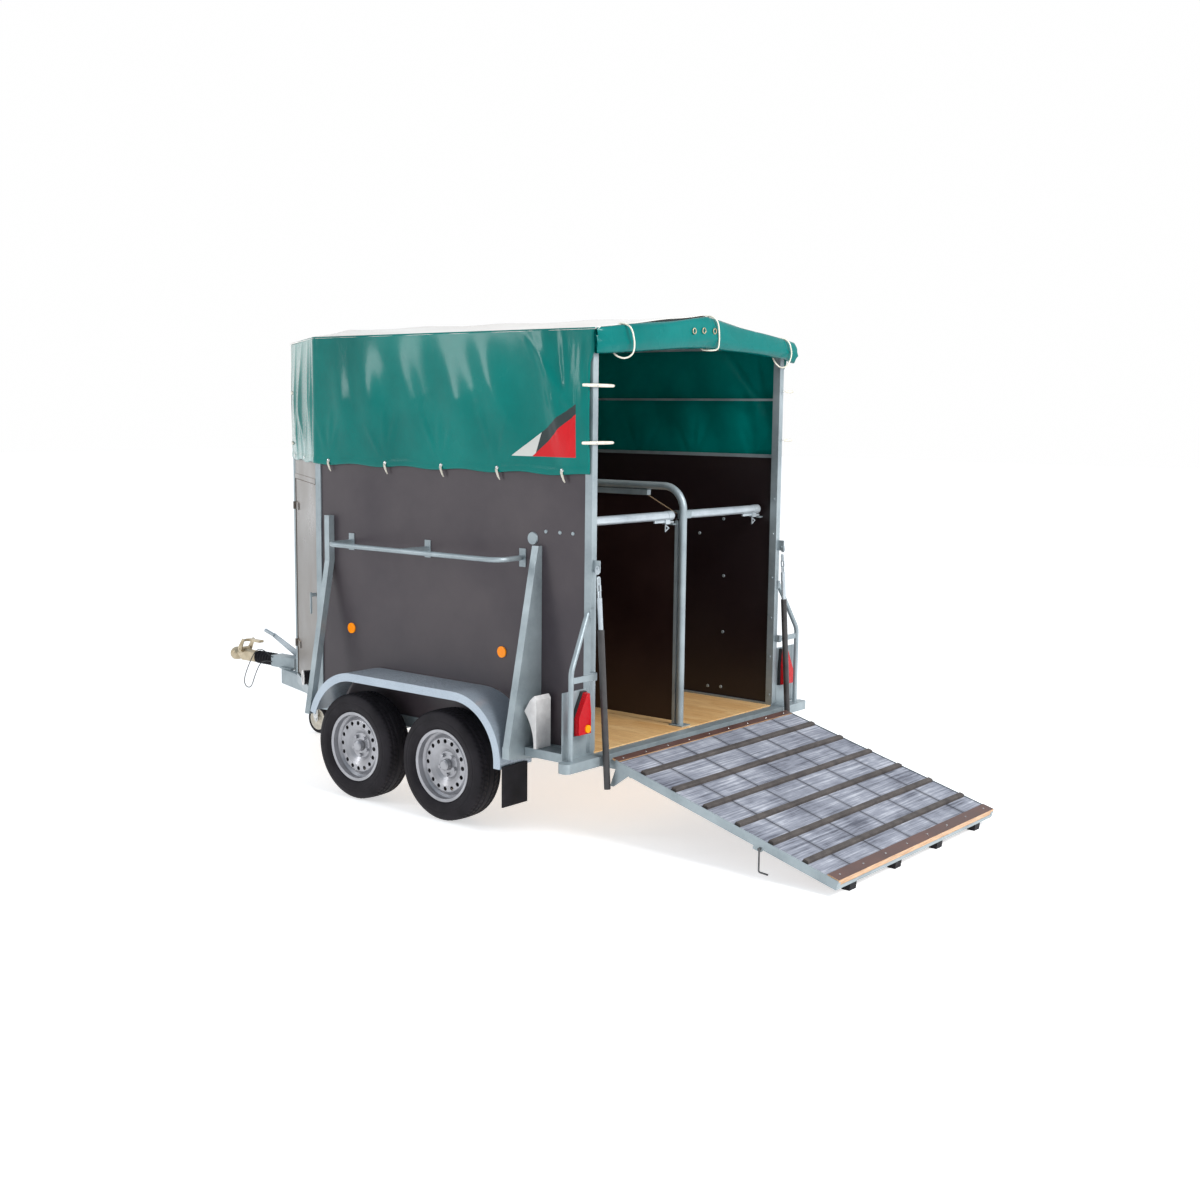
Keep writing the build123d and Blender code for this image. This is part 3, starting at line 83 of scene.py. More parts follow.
# ---------------------------------------------------------------- camera
def camera():
    place = Vector((-6.574, REAR - 4.696, 2.183))
    yaw, pitch, roll = (math.radians(a) for a in (50.865, 7.203, 0.630))
    ahead = Vector((math.sin(yaw) * math.cos(pitch), math.cos(yaw) * math.cos(pitch), -math.sin(pitch)))
    right = ahead.cross(Vector((0, 0, 1))).normalized()
    up = right.cross(ahead)
    right, up = (math.cos(roll) * right + math.sin(roll) * up, math.cos(roll) * up - math.sin(roll) * right)
    data = bpy.data.cameras.new("camera")
    data.sensor_width = 36.0
    data.lens = 44.447
    data.clip_end = 200.0
    cam = add_object("camera", data)
    cam.matrix_world = Matrix.Translation(place) @ Matrix((right, up, -ahead)).transposed().to_4x4()
    bpy.context.scene.camera = cam


camera()


# ---------------------------------------------------------------- materials
class Nodes:
    """A small builder of shader nodes. Its methods return sockets."""

    def __init__(self, tree):
        self.tree = tree
        coords = tree.nodes.new("ShaderNodeTexCoord")
        self.object = coords.outputs["Object"]
        self.facing = coords.outputs["Normal"]
        self.generated = coords.outputs["Generated"]

    def node(self, kind, settings=(), **inputs):
        """Adds a node. Inputs are named, with _ for a space, or numbered as i0, i1 and so on."""
        n = self.tree.nodes.new("ShaderNode" + kind)
        for key, value in dict(settings).items():
            setattr(n, key, value)
        for key, value in inputs.items():
            numbered = key[0] == "i" and key[1:].isdigit()
            socket = n.inputs[int(key[1:]) if numbered else key.replace("_", " ")]
            if isinstance(value, bpy.types.NodeSocket):
                self.tree.links.new(value, socket)
            else:
                socket.default_value = value
        return n

    def mapped(self, scale=(1, 1, 1), turn=(0, 0, 0), source=None):
        return self.node("Mapping", Vector=source or self.object, Scale=scale, Rotation=turn).outputs[0]

    def noise(self, scale, detail=3.0, rough=0.5, source=None, distortion=0.0):
        return self.node("TexNoise", Vector=source or self.object, Scale=scale, Detail=detail,
                         Roughness=rough, Distortion=distortion).outputs["Fac"]

    def cells(self, scale):
        return self.node("TexVoronoi", Vector=self.object, Scale=scale).outputs["Color"]

    def wave(self, direction, scale, **inputs):
        return self.node("TexWave", {"bands_direction": direction}, Vector=self.object, Scale=scale,
                         **inputs).outputs["Fac"]

    def math(self, operation, a, b=0.0):
        return self.node("Math", {"operation": operation}, i0=a, i1=b).outputs[0]

    def split(self, source=None):
        return self.node("SeparateXYZ", Vector=source or self.object).outputs

    def ramp(self, source, *stops):
        n = self.node("ValToRGB", Fac=source)
        elements = n.color_ramp.elements
        while len(elements) < len(stops):
            elements.new(0.5)
        for element, (place, colour) in zip(elements, stops):
            element.position = place
            element.color = (*colour, 1)
        return n.outputs[0]

    def level(self, source, low, high, out_low, out_high):
        return self.node("MapRange", Value=source, From_Min=low, From_Max=high,
                         To_Min=out_low, To_Max=out_high).outputs[0]

    def mix(self, share, a, b, blend="MIX"):
        a, b = ((*c, 1) if isinstance(c, tuple) else c for c in (a, b))
        # the colours of this node are its inputs 6 and 7 and its output 2
        n = self.node("Mix", {"data_type": "RGBA", "blend_type": blend}, i0=share, i6=a, i7=b)
        return n.outputs[2]

    def bump(self, height, strength=0.2, distance=0.002, under=None):
        extra = {"Normal": under} if under else {}
        return self.node("Bump", Height=height, Strength=strength, Distance=distance, **extra).outputs[0]


class Shader(Nodes):
    """A procedural material round the principled shader."""

    def __init__(self, name, roughness=0.5, metallic=0.0, **inputs):
        self.material = bpy.data.materials.new(name)
        self.material.use_nodes = True
        super().__init__(self.material.node_tree)
        self.main = self.tree.nodes["Principled BSDF"]
        for key, value in {"Roughness": roughness, "Metallic": metallic, **inputs}.items():
            self.main.inputs[key.replace("_", " ")].default_value = value

    def done(self, colour=None, roughness=None, normal=None):
        for key, value in (("Base Color", colour), ("Roughness", roughness), ("Normal", normal)):
            if value is not None:
                self.tree.links.new(value, self.main.inputs[key])
        return self.material


def srgb(r, g, b):
    """Linear colour of three sRGB values from 0 to 255."""
    return tuple(((v / 255 + 0.055) / 1.055) ** 2.4 if v > 10 else v / 3294.6 for v in (r, g, b))


def plain(name, dark, light, roughness=0.5, metallic=0.0, scale=30.0, grain=400.0, depth=0.1, **inputs):
    """A moulded or painted surface: slow colour variation, fine grain, uneven gloss."""
    s = Shader(name, roughness, metallic, **inputs)
    slow = s.noise(scale)
    fine = s.noise(grain, 2.0)
    colour = s.ramp(slow, (0.3, dark), (0.7, light))
    rough = s.level(fine, 0.3, 0.7, roughness * 0.85, min(1.0, roughness * 1.15))
    return s.done(colour, rough, s.bump(fine, depth, 0.0006))


ZINC_METALLIC = 0.45


def galvanised(name, dark, light, roughness=0.42, streak=0.2, grain=70.0):
    """Hot-dip zinc: a spangle of crystals under soft clouding."""
    s = Shader(name, roughness, ZINC_METALLIC)
    spangle = s.split(s.cells(grain))[0]
    cloud = s.noise(5.0, 4.0, 0.6)
    base = s.ramp(cloud, (0.25, dark), (0.75, light))
    colour = s.mix(s.math("MULTIPLY", spangle, streak), base, light)
    rough = s.level(spangle, 0.0, 1.0, roughness - 0.04, roughness + 0.06)
    fine = s.noise(260.0, 2.0)
    return s.done(colour, rough, s.bump(fine, 0.08, 0.0006))


def film_ply(name, face, sheen, inner_shade=None, edge=(0.50, 0.33, 0.19), gloss=0.32, shine=0.5):
    """Film-faced plywood with a faint mesh, a painted shade (a darker colour) on the faces inside the box,
    and bare veneers on edges across Z.
    """
    s = Shader(name, gloss, Specular_IOR_Level=shine)
    cloud = s.noise(2.2, 4.0, 0.55)
    colour = s.ramp(cloud, (0.3, face), (0.75, sheen))
    # painted shade: faces turned towards the trailer's middle take the darker inner colour
    if inner_shade:
        x, normal_x = s.split()[0], s.split(s.facing)[0]
        inwards = s.math("LESS_THAN", s.math("MULTIPLY", x, normal_x), 0.0)
        colour = s.mix(inwards, colour, inner_shade)
    mesh = s.node("TexBrick", Vector=s.object, Scale=160.0).outputs["Fac"]
    side = s.math("ABSOLUTE", s.split(s.facing)[2])
    on_edge = s.level(side, 0.5, 0.6, 0.0, 1.0)
    layers = s.wave("X", 110.0, Distortion=1.5, Detail=2.0)
    veneer = s.mix(layers, edge, tuple(0.45 * c for c in edge))
    fleck = s.noise(120.0, 2.0)
    rough = s.level(cloud, 0.3, 0.7, gloss - 0.05, gloss + 0.1)
    height = s.math("ADD", s.math("MULTIPLY", mesh, 0.25), fleck)
    return s.done(s.mix(on_edge, colour, veneer), rough, s.bump(height, 0.06, 0.0005))


def pvc(name, dark, light, roughness=0.2, mark=None):
    """PVC-coated fabric: glossy film over a fine weave."""
    s = Shader(name, roughness, Specular_IOR_Level=0.06, Coat_Weight=0.25, Coat_Roughness=0.12)
    cloud = s.noise(1.6, 4.0, 0.6)
    colour = s.ramp(cloud, (0.3, dark), (0.7, light))
    if mark:
        colour = mark(s, colour)
    weave = s.math("ADD", s.wave("Y", 190.0), s.wave("Z", 190.0))
    crease = s.noise(14.0, 5.0, 0.65, s.mapped((1.0, 0.6, 0.35)), 0.6)
    normal = s.bump(crease, 0.35, 0.008, s.bump(weave, 0.05, 0.0004))
    rough = s.level(cloud, 0.3, 0.7, roughness - 0.05, roughness + 0.08)
    return s.done(colour, rough, normal)


def triangle_mark(s, cloth):
    """A printed plain triangle in the rear lower corner: white strip, dark upper part, red lower part."""
    back, front, low, high = REAR + 0.098, REAR + 0.536, 1.958, 2.225
    white, dark, red = srgb(206, 206, 200), srgb(56, 64, 64), srgb(206, 34, 40)
    x, y, z = s.split()
    along = s.level(y, back, front, 1.0, 0.0)  # 1 at the rear edge, 0 at the front point
    tall = s.level(z, low, high, 0.0, 1.0)
    inside = s.math("MULTIPLY", s.math("LESS_THAN", tall, along), s.math("GREATER_THAN", tall, 0.0))
    inside = s.math("MULTIPLY", inside, s.math("LESS_THAN", along, 1.0))
    outside = s.math("GREATER_THAN", s.math("MULTIPLY", x, s.split(s.facing)[0]), 0.0)
    inside = s.math("MULTIPLY", inside, outside)
    strip_edge = s.level(tall, 0.0, 1.0, 0.36, 0.58)
    band = s.mix(s.math("LESS_THAN", along, strip_edge), dark, white)
    lower = s.math("LESS_THAN", tall, s.level(along, 0.32, 1.0, 0.0, 0.81))
    ink = s.mix(s.math("MULTIPLY", lower, s.math("GREATER_THAN", along, 0.32)), band, red)
    return s.mix(inside, cloth, ink)


M = {
    "steel": galvanised("galvanised_steel", srgb(126, 137, 142), srgb(166, 177, 181)),
    "steel_dark": galvanised("galvanised_weathered", srgb(104, 112, 116), srgb(150, 160, 164), 0.5),
    "steel_bars": galvanised("galvanised_tube", srgb(150, 160, 168), srgb(200, 208, 212), 0.34),
    "sheet": plain("galvanised_sheet", srgb(158, 170, 182), srgb(182, 193, 203), 0.28, ZINC_METALLIC, 3.0,
                   depth=0.0),
    # the wall's third colour is painted shade for its faces inside the box
    "wall": film_ply("film_ply_wall", srgb(52, 43, 50), srgb(72, 64, 67), srgb(30, 20, 22), gloss=0.36),
    "panel": film_ply("film_ply_partition", srgb(30, 17, 17), srgb(44, 27, 25), gloss=0.34),
    "door": film_ply("film_ply_nose", srgb(98, 91, 85), srgb(120, 113, 106), gloss=0.3, shine=0.2),
    "green": pvc("green_tarpaulin", srgb(0, 99, 93), srgb(0, 121, 113), mark=triangle_mark),
    "dark_green": pvc("green_tarpaulin_front", srgb(0, 96, 86), srgb(0, 116, 104)),
    "green_roll": pvc("green_tarpaulin_roll", srgb(0, 88, 85), srgb(0, 109, 105), 0.24),
    "roof": pvc("white_tarpaulin", srgb(222, 214, 206), srgb(238, 234, 228), 0.4),
    "webbing": plain("white_webbing", srgb(196, 190, 176), srgb(218, 212, 198), 0.55),
    "rope": plain("white_rope", srgb(206, 200, 182), srgb(232, 228, 214), 0.5),
    "rubber": plain("black_rubber", srgb(22, 21, 24), srgb(34, 32, 36), 0.6, 0.0, 12.0, 300.0, 0.2,
                    Specular_IOR_Level=0.15),
    "tyre": plain("tyre_rubber", srgb(26, 24, 27), srgb(40, 37, 41), 0.62, 0.0, 9.0, 500.0, 0.2,
                  Specular_IOR_Level=0.15),
    "rim": plain("rim_silver", srgb(150, 150, 154), srgb(178, 178, 182), 0.32, 0.6, 8.0, 900.0, 0.05),
    "drum": plain("brake_drum", srgb(60, 62, 64), srgb(92, 92, 92), 0.6, 0.5),
    "black": plain("black_paint", srgb(44, 42, 43), srgb(62, 60, 60), 0.42, 0.0, 14.0),
    "plastic": plain("black_plastic", srgb(28, 28, 30), srgb(40, 40, 42), 0.45),
    "white_plastic": plain("white_plastic", srgb(214, 210, 208), srgb(230, 227, 225), 0.45, depth=0.03),
    "zinc": plain("zinc_cast", srgb(168, 152, 124), srgb(206, 192, 166), 0.4, 0.75, 16.0, 300.0, 0.3),
    "chrome": plain("bright_zinc", srgb(178, 178, 176), srgb(222, 222, 220), 0.22, 0.9),
    "dark_steel": plain("dark_steel", srgb(74, 74, 76), srgb(110, 110, 110), 0.45, 0.7),
}


def lens(name, dark, light, scale, glow=0.0):
    """Moulded lamp lens with fine optic ribs."""
    s = Shader(name, 0.16, Specular_IOR_Level=0.3, Emission_Color=(*light, 1), Emission_Strength=glow)
    ribs = s.math("MULTIPLY", s.wave("X", scale), s.wave("Z", scale))
    return s.done(s.ramp(ribs, (0.0, dark), (1.0, light)), None, s.bump(ribs, 0.5, 0.001))


M["red"] = lens("red_lens", srgb(160, 0, 12), srgb(222, 6, 26), 60.0)
M["amber"] = lens("amber_lens", srgb(238, 128, 0), srgb(255, 158, 4), 90.0, 0.25)


def floor_wood():
    """Jointed staves of light wood under clear varnish, running along the floor."""
    s = Shader("floor_wood", 0.34)
    brick = s.node("TexBrick", {"offset": 0.37, "squash": 1.0}, Vector=s.mapped(turn=(0, 0, math.pi / 2)),
                   Color1=(*srgb(246, 206, 148), 1), Color2=(*srgb(222, 172, 110), 1),
                   Mortar=(*srgb(146, 96, 50), 1), Scale=1.0, Mortar_Size=0.0006, Brick_Width=0.62,
                   Row_Height=0.062)
    grain = s.noise(9.0, 6.0, 0.65, s.mapped((9.0, 0.9, 1.0)), 0.4)
    colour = s.mix(s.level(grain, 0.35, 0.7, 0.0, 0.55), brick.outputs["Color"], srgb(168, 112, 62))
    fine = s.noise(60.0, 3.0, 0.6, s.mapped((12.0, 0.8, 1.0)))
    colour = s.mix(s.level(fine, 0.4, 0.7, 0.0, 0.35), colour, srgb(232, 190, 130))
    return s.done(colour, s.level(grain, 0.3, 0.7, 0.28, 0.42), s.bump(fine, 0.1, 0.0006))


def ramp_ply():
    """Brown film-faced ply with its cut edges bare."""
    s = Shader("film_ply_ramp", 0.42)
    turned = s.mapped(turn=(-SLOPE, 0, 0), source=s.facing)
    on_edge = s.level(s.math("ABSOLUTE", s.split(turned)[2]), 0.6, 0.7, 1.0, 0.0)
    cloud = s.noise(7.0, 4.0, 0.6)
    film = s.ramp(cloud, (0.3, srgb(74, 50, 44)), (0.7, srgb(96, 68, 60)))
    veneer = s.ramp(s.noise(40.0, 4.0, 0.6, s.mapped((0.3, 3.0, 6.0))),
                    (0.35, srgb(176, 132, 92)), (0.65, srgb(216, 176, 136)))
    fine = s.noise(220.0, 2.0)
    rough = s.level(cloud, 0.3, 0.7, 0.36, 0.5)
    return s.done(s.mix(on_edge, film, veneer), rough, s.bump(fine, 0.15, 0.0006))


def mat_rubber():
    """Grey rubber tiles: fine weathered streaks across the ramp, darker towards the seams."""
    s = Shader("grey_rubber", 0.7)
    streak = s.noise(1.0, 4.0, 0.6, s.mapped((2.6, 95.0, 40.0)), 0.3)
    fleck = s.noise(1.0, 3.0, 0.6, s.mapped((14.0, 260.0, 90.0)))
    patch = s.noise(4.6, 3.0, 0.55)
    mixed = s.math("ADD", s.math("MULTIPLY", streak, 0.5), s.math("MULTIPLY", patch, 0.3))
    mixed = s.math("ADD", mixed, s.math("MULTIPLY", fleck, 0.2))
    colour = s.ramp(mixed, (0.38, srgb(74, 76, 88)), (0.45, srgb(118, 121, 132)), (0.53, srgb(144, 147, 158)),
                    (0.62, srgb(188, 190, 198)))
    # the tiles turn darker towards the seams between tile columns, fading out within about 12 mm of them
    seam = s.math("PINGPONG", s.math("ADD", s.split()[0], s.math("MULTIPLY", patch, 0.004)), 0.15)
    darker_near_seams = s.level(s.math("SUBTRACT", seam, s.math("MULTIPLY", streak, 0.03)), -0.012, 0.012, 0.55, 0.0)
    colour = s.mix(darker_near_seams, colour, srgb(62, 62, 70))
    height = s.math("ADD", s.math("MULTIPLY", streak, 1.5), fleck)
    return s.done(colour, s.level(streak, 0.35, 0.65, 0.55, 0.8), s.bump(height, 0.35, 0.002))


M["floor"] = floor_wood()
M["ramp_ply"] = ramp_ply()
M["mat"] = mat_rubber()
M["batten"] = plain("batten_rubber", srgb(58, 52, 50), srgb(84, 77, 73), 0.7, 0.0, 14.0, 260.0, 0.4)
M["seam"] = plain("seam_rubber", srgb(34, 33, 36), srgb(48, 46, 50), 0.8)


# ---------------------------------------------------------------- CAD nodes that stay
def finish_node(name, material, bevel=0.0):
    """Gives a CAD node its material, and eases its edges where bevel is given."""
    node = NODES[name]
    node.data.materials.clear()
    node.data.materials.append(M[material])
    if bevel:
        m = node.modifiers.new("edges", "BEVEL")
        m.width = bevel
        m.segments = 2
        m.limit_method = "ANGLE"
        m.angle_limit = math.radians(40)
        m.harden_normals = False


KEPT = {
    "steel": "chassis_rails drawbar_beams rear_crossbeam rear_posts front_posts roof_frame handrail "
             "fender_supports light_guards axle_tubes partition_frame wall_bolts overrun_housing "
             "door_handle ramp_frame jockey_leg",
    "steel_dark": "arm_front_left arm_front_right arm_rear_left arm_rear_right",
    "sheet": "fenders",
    "wall": "side_walls",
    "door": "nose_panels entry_door",
    "panel": "partition_panel",
    "floor": "floor_board",
    "ramp_ply": "ramp_board",
    "dark_steel": "ramp_latch_left ramp_latch_right",
    "chrome": "jockey_fork",
    "rubber": "mudflaps ramp_feet",
    "rim": "rim_front_left rim_front_right rim_rear_left rim_rear_right",
    "red": "red_lenses",
    "amber": "amber_lenses",
    "plastic": "lamp_housings",
    "white_plastic": "wheel_chock",
    "black": "spring_sleeves",
    "zinc": "coupling_head coupling_handle",
    "steel_bars": "rump_bar_left rump_bar_right handbrake_lever spring_rods",
}
BEVELS = {"chassis_rails": 0.003, "rear_crossbeam": 0.003, "rear_posts": 0.003, "front_posts": 0.003,
          "wheel_chock": 0.004, "mudflaps": 0.002, "red_lenses": 0.004, "fenders": 0.001,
          "lamp_housings": 0.003, "fender_supports": 0.0015, "coupling_handle": 0.002,
          "overrun_housing": 0.002, "drawbar_beams": 0.003}
for key, names in KEPT.items():
    for name in names.split():
        finish_node(name, key, BEVELS.get(name, 0.0))


# ---------------------------------------------------------------- helpers for new pieces
def shade(mesh, smooth=True):
    for polygon in mesh.polygons:
        polygon.use_smooth = smooth


def put(name, mesh, material, body, replaces=(), smooth=True):
    """Makes an object of a mesh and lets it ride on a body."""
    ob = add_object(name, mesh)
    mesh.materials.append(M[material])
    shade(mesh, smooth)
    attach(ob, body)
    if replaces:
        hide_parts(*replaces)
    return ob


def mesh_from(name, verts, faces):
    mesh = bpy.data.meshes.new(name)
    mesh.from_pydata(verts, [], faces)
    return mesh


def grid_mesh(name, rows):
    """A sheet through rows of points, each row the same length."""
    rows = np.asarray(rows, float)
    n, m = rows.shape[:2]
    faces = [(i * m + j, i * m + j + 1, (i + 1) * m + j + 1, (i + 1) * m + j)
             for i in range(n - 1) for j in range(m - 1)]
    return mesh_from(name, rows.reshape(-1, 3).tolist(), faces)


def loop_mesh(name, points, radius, sides):
    """A round tube along a closed line of points."""
    points = [Vector(p) for p in points]
    n = len(points)
    verts, faces = [], []
    side = None
    for i, p in enumerate(points):
        ahead = (points[(i + 1) % n] - points[(i - 1) % n]).normalized()
        if side is None:
            side = ahead.orthogonal().normalized()
        side = (side - ahead * side.dot(ahead)).normalized()
        up = ahead.cross(side)
        for k in range(sides):
            a = 2 * math.pi * k / sides
            verts.append(tuple(p + side * (radius * math.cos(a)) + up * (radius * math.sin(a))))
    for i in range(n):
        for k in range(sides):
            a, b = i * sides, ((i + 1) % n) * sides
            faces.append((a + k, a + (k + 1) % sides, b + (k + 1) % sides, b + k))
    return mesh_from(name, verts, faces)


def lathe_mesh(name, profile, segments, shape=None):
    """Turns (x, radius) points about the X axis. shape(x, radius, turn) may change each point's radius."""
    verts, faces = [], []
    m = len(profile)
    for i in range(segments):
        a = 2 * math.pi * i / segments
        for x, r in profile:
            rr = shape(x, r, a) if shape else r
            verts.append((x, rr * math.cos(a), rr * math.sin(a)))
    for i in range(segments):
        j = (i + 1) % segments
        for k in range(m - 1):
            faces.append((i * m + k, i * m + k + 1, j * m + k + 1, j * m + k))
    return mesh_from(name, verts, faces)


def box_into(bm, low, high, bevel=0.0):
    """Adds a box between two corners to a bmesh, with its edges eased."""
    size = Vector(high) - Vector(low)
    made = bmesh.ops.create_cube(bm, size=1.0)
    bmesh.ops.scale(bm, vec=size, verts=made["verts"])
    bmesh.ops.translate(bm, vec=(Vector(high) + Vector(low)) / 2, verts=made["verts"])
    if bevel:
        edges = {e for v in made["verts"] for e in v.link_edges}
        bmesh.ops.bevel(bm, geom=list(edges), offset=bevel, segments=2, affect="EDGES", profile=0.6)


def mesh_of(name, bm):
    mesh = bpy.data.meshes.new(name)
    bm.to_mesh(mesh)
    bm.free()
    return mesh


def thicken(ob, offset):
    """Gives a sheet its thickness: offset 0 to both sides, -1 inwards."""
    m = ob.modifiers.new("thickness", "SOLIDIFY")
    m.thickness = CLOTH_THICKNESS
    m.offset = offset


def cord_curve(name, spots, radius, order, material):
    """A round cord on the trailer, as a smooth curve through control points."""
    curve = bpy.data.curves.new(name, "CURVE")
    curve.dimensions = "3D"
    curve.bevel_depth = radius
    curve.bevel_resolution = 4
    spline = curve.splines.new("NURBS")
    spline.points.add(len(spots) - 1)
    for point, spot in zip(spline.points, spots):
        point.co = (*spot, 1)
    spline.order_u = order
    spline.use_endpoint_u = True
    curve.materials.append(M[material])
    ob = add_object(name, curve)
    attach(ob, "trailer")
    return ob


# ---------------------------------------------------------------- breakaway cable
CABLE_ROUTE = [(x, REAR + y, z) for x, y, z in (
    (-0.050, 3.570, 0.452), (-0.076, 3.590, 0.478), (-0.084, 3.640, 0.506), (-0.086, 3.700, 0.500),
    (-0.087, 3.750, 0.448), (-0.088, 3.790, 0.385), (-0.090, 3.828, 0.315), (-0.091, 3.848, 0.258),
    (-0.084, 3.838, 0.218), (-0.075, 3.804, 0.210), (-0.072, 3.778, 0.238), (-0.070, 3.752, 0.300),
    (-0.068, 3.718, 0.362), (-0.066, 3.680, 0.410), (-0.062, 3.620, 0.426), (-0.050, 3.580, 0.420),
)]


def breakaway_cable():
    ob = cord_curve("breakaway_cable_loop", CABLE_ROUTE, radius=0.003, order=3, material="plastic")
    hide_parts("breakaway_cable")


breakaway_cable()


# ---------------------------------------------------------------- tarpaulins
CLOTH_GAP = 0.0115  # from the wall's outer face to the side sheet
HEM_START = 0.012  # from the rear face to the side sheet's edge
HALF_TURN = 0.28  # half the angle of the wall's corner
BEND_RADIUS = 0.045


def wall_path(side):
    """Plan of a side sheet from the rear edge to the nose's front, as stations (distance, x, y,
    outward normal), and its length."""
    start = Vector((CORNER.x + CLOTH_GAP, REAR + HEM_START))
    bend = Vector((CORNER.x + CLOTH_GAP, CORNER.y + CLOTH_GAP * math.tan(HALF_TURN)))
    end = FRONT + NOSE_OUT * CLOTH_GAP + NOSE_ALONG * 0.004
    ahead, out = Vector((0, 1)), Vector((1, 0))
    length_a = (bend - start).length
    total = length_a + (end - bend).length
    steps = 190
    points = []
    for i in range(steps + 1):
        s = total * i / steps
        first = start + ahead * s
        second = bend + NOSE_ALONG * (s - length_a)
        t = min(1.0, max(0.0, (s - length_a + BEND_RADIUS) / (2 * BEND_RADIUS)))
        t = t * t * (3 - 2 * t)
        p, n = first.lerp(second, t), out.lerp(NOSE_OUT, t).normalized()
        if s < length_a - BEND_RADIUS:
            p, n = first, out
        points.append((s, side * p.x, p.y, Vector((side * n.x, n.y))))
    return points, total


def ridge(s, z, a, b, width, height):
    """A fold: a soft ridge along the line from a to b, fading at both ends."""
    ax, az = a
    bx, bz = b
    dx, dz = bx - ax, bz - az
    length = math.hypot(dx, dz)
    t = ((s - ax) * dx + (z - az) * dz) / (length * length)
    off = ((s - ax) * dz - (z - az) * dx) / length
    fade = np.clip(1 - np.abs(2 * t - 1), 0, 1) ** 0.7
    return height * np.exp(-(off / width) ** 2) * fade


BILLOWS = (  # place at the eave, place at the hem, width, height
    (0.30, 0.05, 0.055, 0.016), (0.42, 0.16, 0.05, 0.012), (0.80, 0.42, 0.10, 0.016),
    (1.12, 0.74, 0.12, 0.015), (1.42, 1.14, 0.11, 0.013), (1.70, 1.52, 0.10, 0.012),
    (1.96, 1.80, 0.08, 0.011), (2.30, 2.20, 0.05, 0.014), (2.55, 2.62, 0.05, 0.014),
    (2.78, 2.70, 0.04, 0.012),
)
HOOKS = (0.18, 0.63, 1.045, 1.49, 1.97, 2.45, 2.80)
WRAP_LOW, WRAP_WIDTH, WRAP_DEPTH = 2.43, 0.05, 0.022  # the upper rear corner, drawn round the post


def side_sheet(hand, side, seed):
    """One side of the tarpaulin: taut between eave and hem, with folds running to hooks and corners."""
    path, total = wall_path(side)
    rng = np.random.default_rng(seed)
    levels = 74
    rows = []
    zs = np.linspace(CLOTH_LOW, CLOTH_TOP, levels)
    s = np.array([p[0] for p in path])[:, None]
    z = zs[None, :]
    h = np.zeros((len(path), levels))
    span = CLOTH_TOP - CLOTH_LOW
    # large slanting billows between the bows, running past both edges
    past, gain = 0.05, 1.3
    for top, foot, width, height in BILLOWS:
        shift = rng.normal(0, 0.02)
        ends = (top + shift, CLOTH_TOP + past), (foot + shift, CLOTH_LOW - past)
        h += gain * ridge(s, z, *ends, width, height)
    # tight gathers beside the rear post
    for k in range(5):
        at = 0.02 + 0.028 * k
        h += ridge(s, z, (at + 0.05, CLOTH_TOP - 0.02), (at, CLOTH_LOW + 0.02), 0.010, 0.011 - 0.0014 * k)
    # two sharp creases pulled up to the eave near the rear, and a long pleat at the nose
    h += ridge(s, z, (0.10, CLOTH_LOW + 0.30), (0.46, CLOTH_TOP + 0.02), 0.020, 0.014)
    h += ridge(s, z, (0.14, CLOTH_LOW + 0.34), (0.20, CLOTH_TOP + 0.02), 0.016, 0.010)
    h += ridge(s, z, (2.16, CLOTH_LOW - 0.02), (2.20, CLOTH_TOP + 0.02), 0.014, 0.010)
    # fans of short folds rising from each hook
    for hook in HOOKS:
        for lean in (-0.11, 0.02, 0.14):
            top = (hook + lean + rng.normal(0, 0.02), CLOTH_LOW + 0.22 + rng.uniform(0, 0.16))
            h += ridge(s, z, (hook, CLOTH_LOW + 0.01), top, 0.016, 0.006)
    # slow billow of the whole sheet, held down at the eave and the hem
    held = np.sin(np.pi * np.clip((z - CLOTH_LOW) / span, 0, 1)) ** 0.7
    h += held * (0.006 + 0.006 * np.sin(2 * np.pi * (s * 1.1 + 0.4 * z) + seed))
    h *= 0.35 + 0.65 * held
    # doubled hem along the lower edge, scalloped a little between the hooks
    hem = np.clip(1 - (z - CLOTH_LOW) / 0.035, 0, 1)
    h += 0.0025 * np.clip(hem * 6, 0, 1)
    sag = 0.006 * np.sin(2 * np.pi * s / 0.43 + 1.0) * np.clip(1 - (z - CLOTH_LOW) / 0.25, 0, 1)
    for i, (_, x, y, n) in enumerate(path):
        row = []
        for j in range(levels):
            d = h[i, j]
            wrap = max(0.0, 1.0 - s[i, 0] / WRAP_WIDTH) * min(1.0, max(0.0, (zs[j] - WRAP_LOW) / 0.05))
            row.append((x + n.x * d, y + n.y * d - WRAP_DEPTH * wrap, zs[j] + sag[i, j]))
        rows.append(row)
    ob = put(f"tarp_side_{hand}", grid_mesh(f"tarp_side_{hand}", rows), "green", "trailer")
    thicken(ob, 0.0)
    return ob


side_left = side_sheet("left", -1, seed=3)
side_sheet("right", 1, seed=8)
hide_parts("tarp_walls")


def front_flap():
    """The separate flap over the nose's flat front, outside the side sheets."""
    half, low, top = 0.372, 1.869, CLOTH_TOP
    steps = 60
    rows = []
    for i in range(steps + 1):
        u = i / steps
        x = -half + 2 * half * u
        row = []
        for j in range(steps + 1):
            v = j / steps
            z = low + (top - low) * v
            y = FRONT.y + 0.016 + 0.008 * math.sin(math.pi * v) * (0.6 + 0.4 * math.sin(9 * u + 3 * v))
            y += 0.004 * math.exp(-((u - 0.03) / 0.03) ** 2) + 0.004 * math.exp(-((u - 0.97) / 0.03) ** 2)
            row.append((x, y, z + 0.004 * math.sin(7 * u) * (1 - v)))
        rows.append(row)
    ob = put("tarp_front", grid_mesh("tarp_front", rows), "dark_green", "trailer")
    thicken(ob, 0.0)


front_flap()


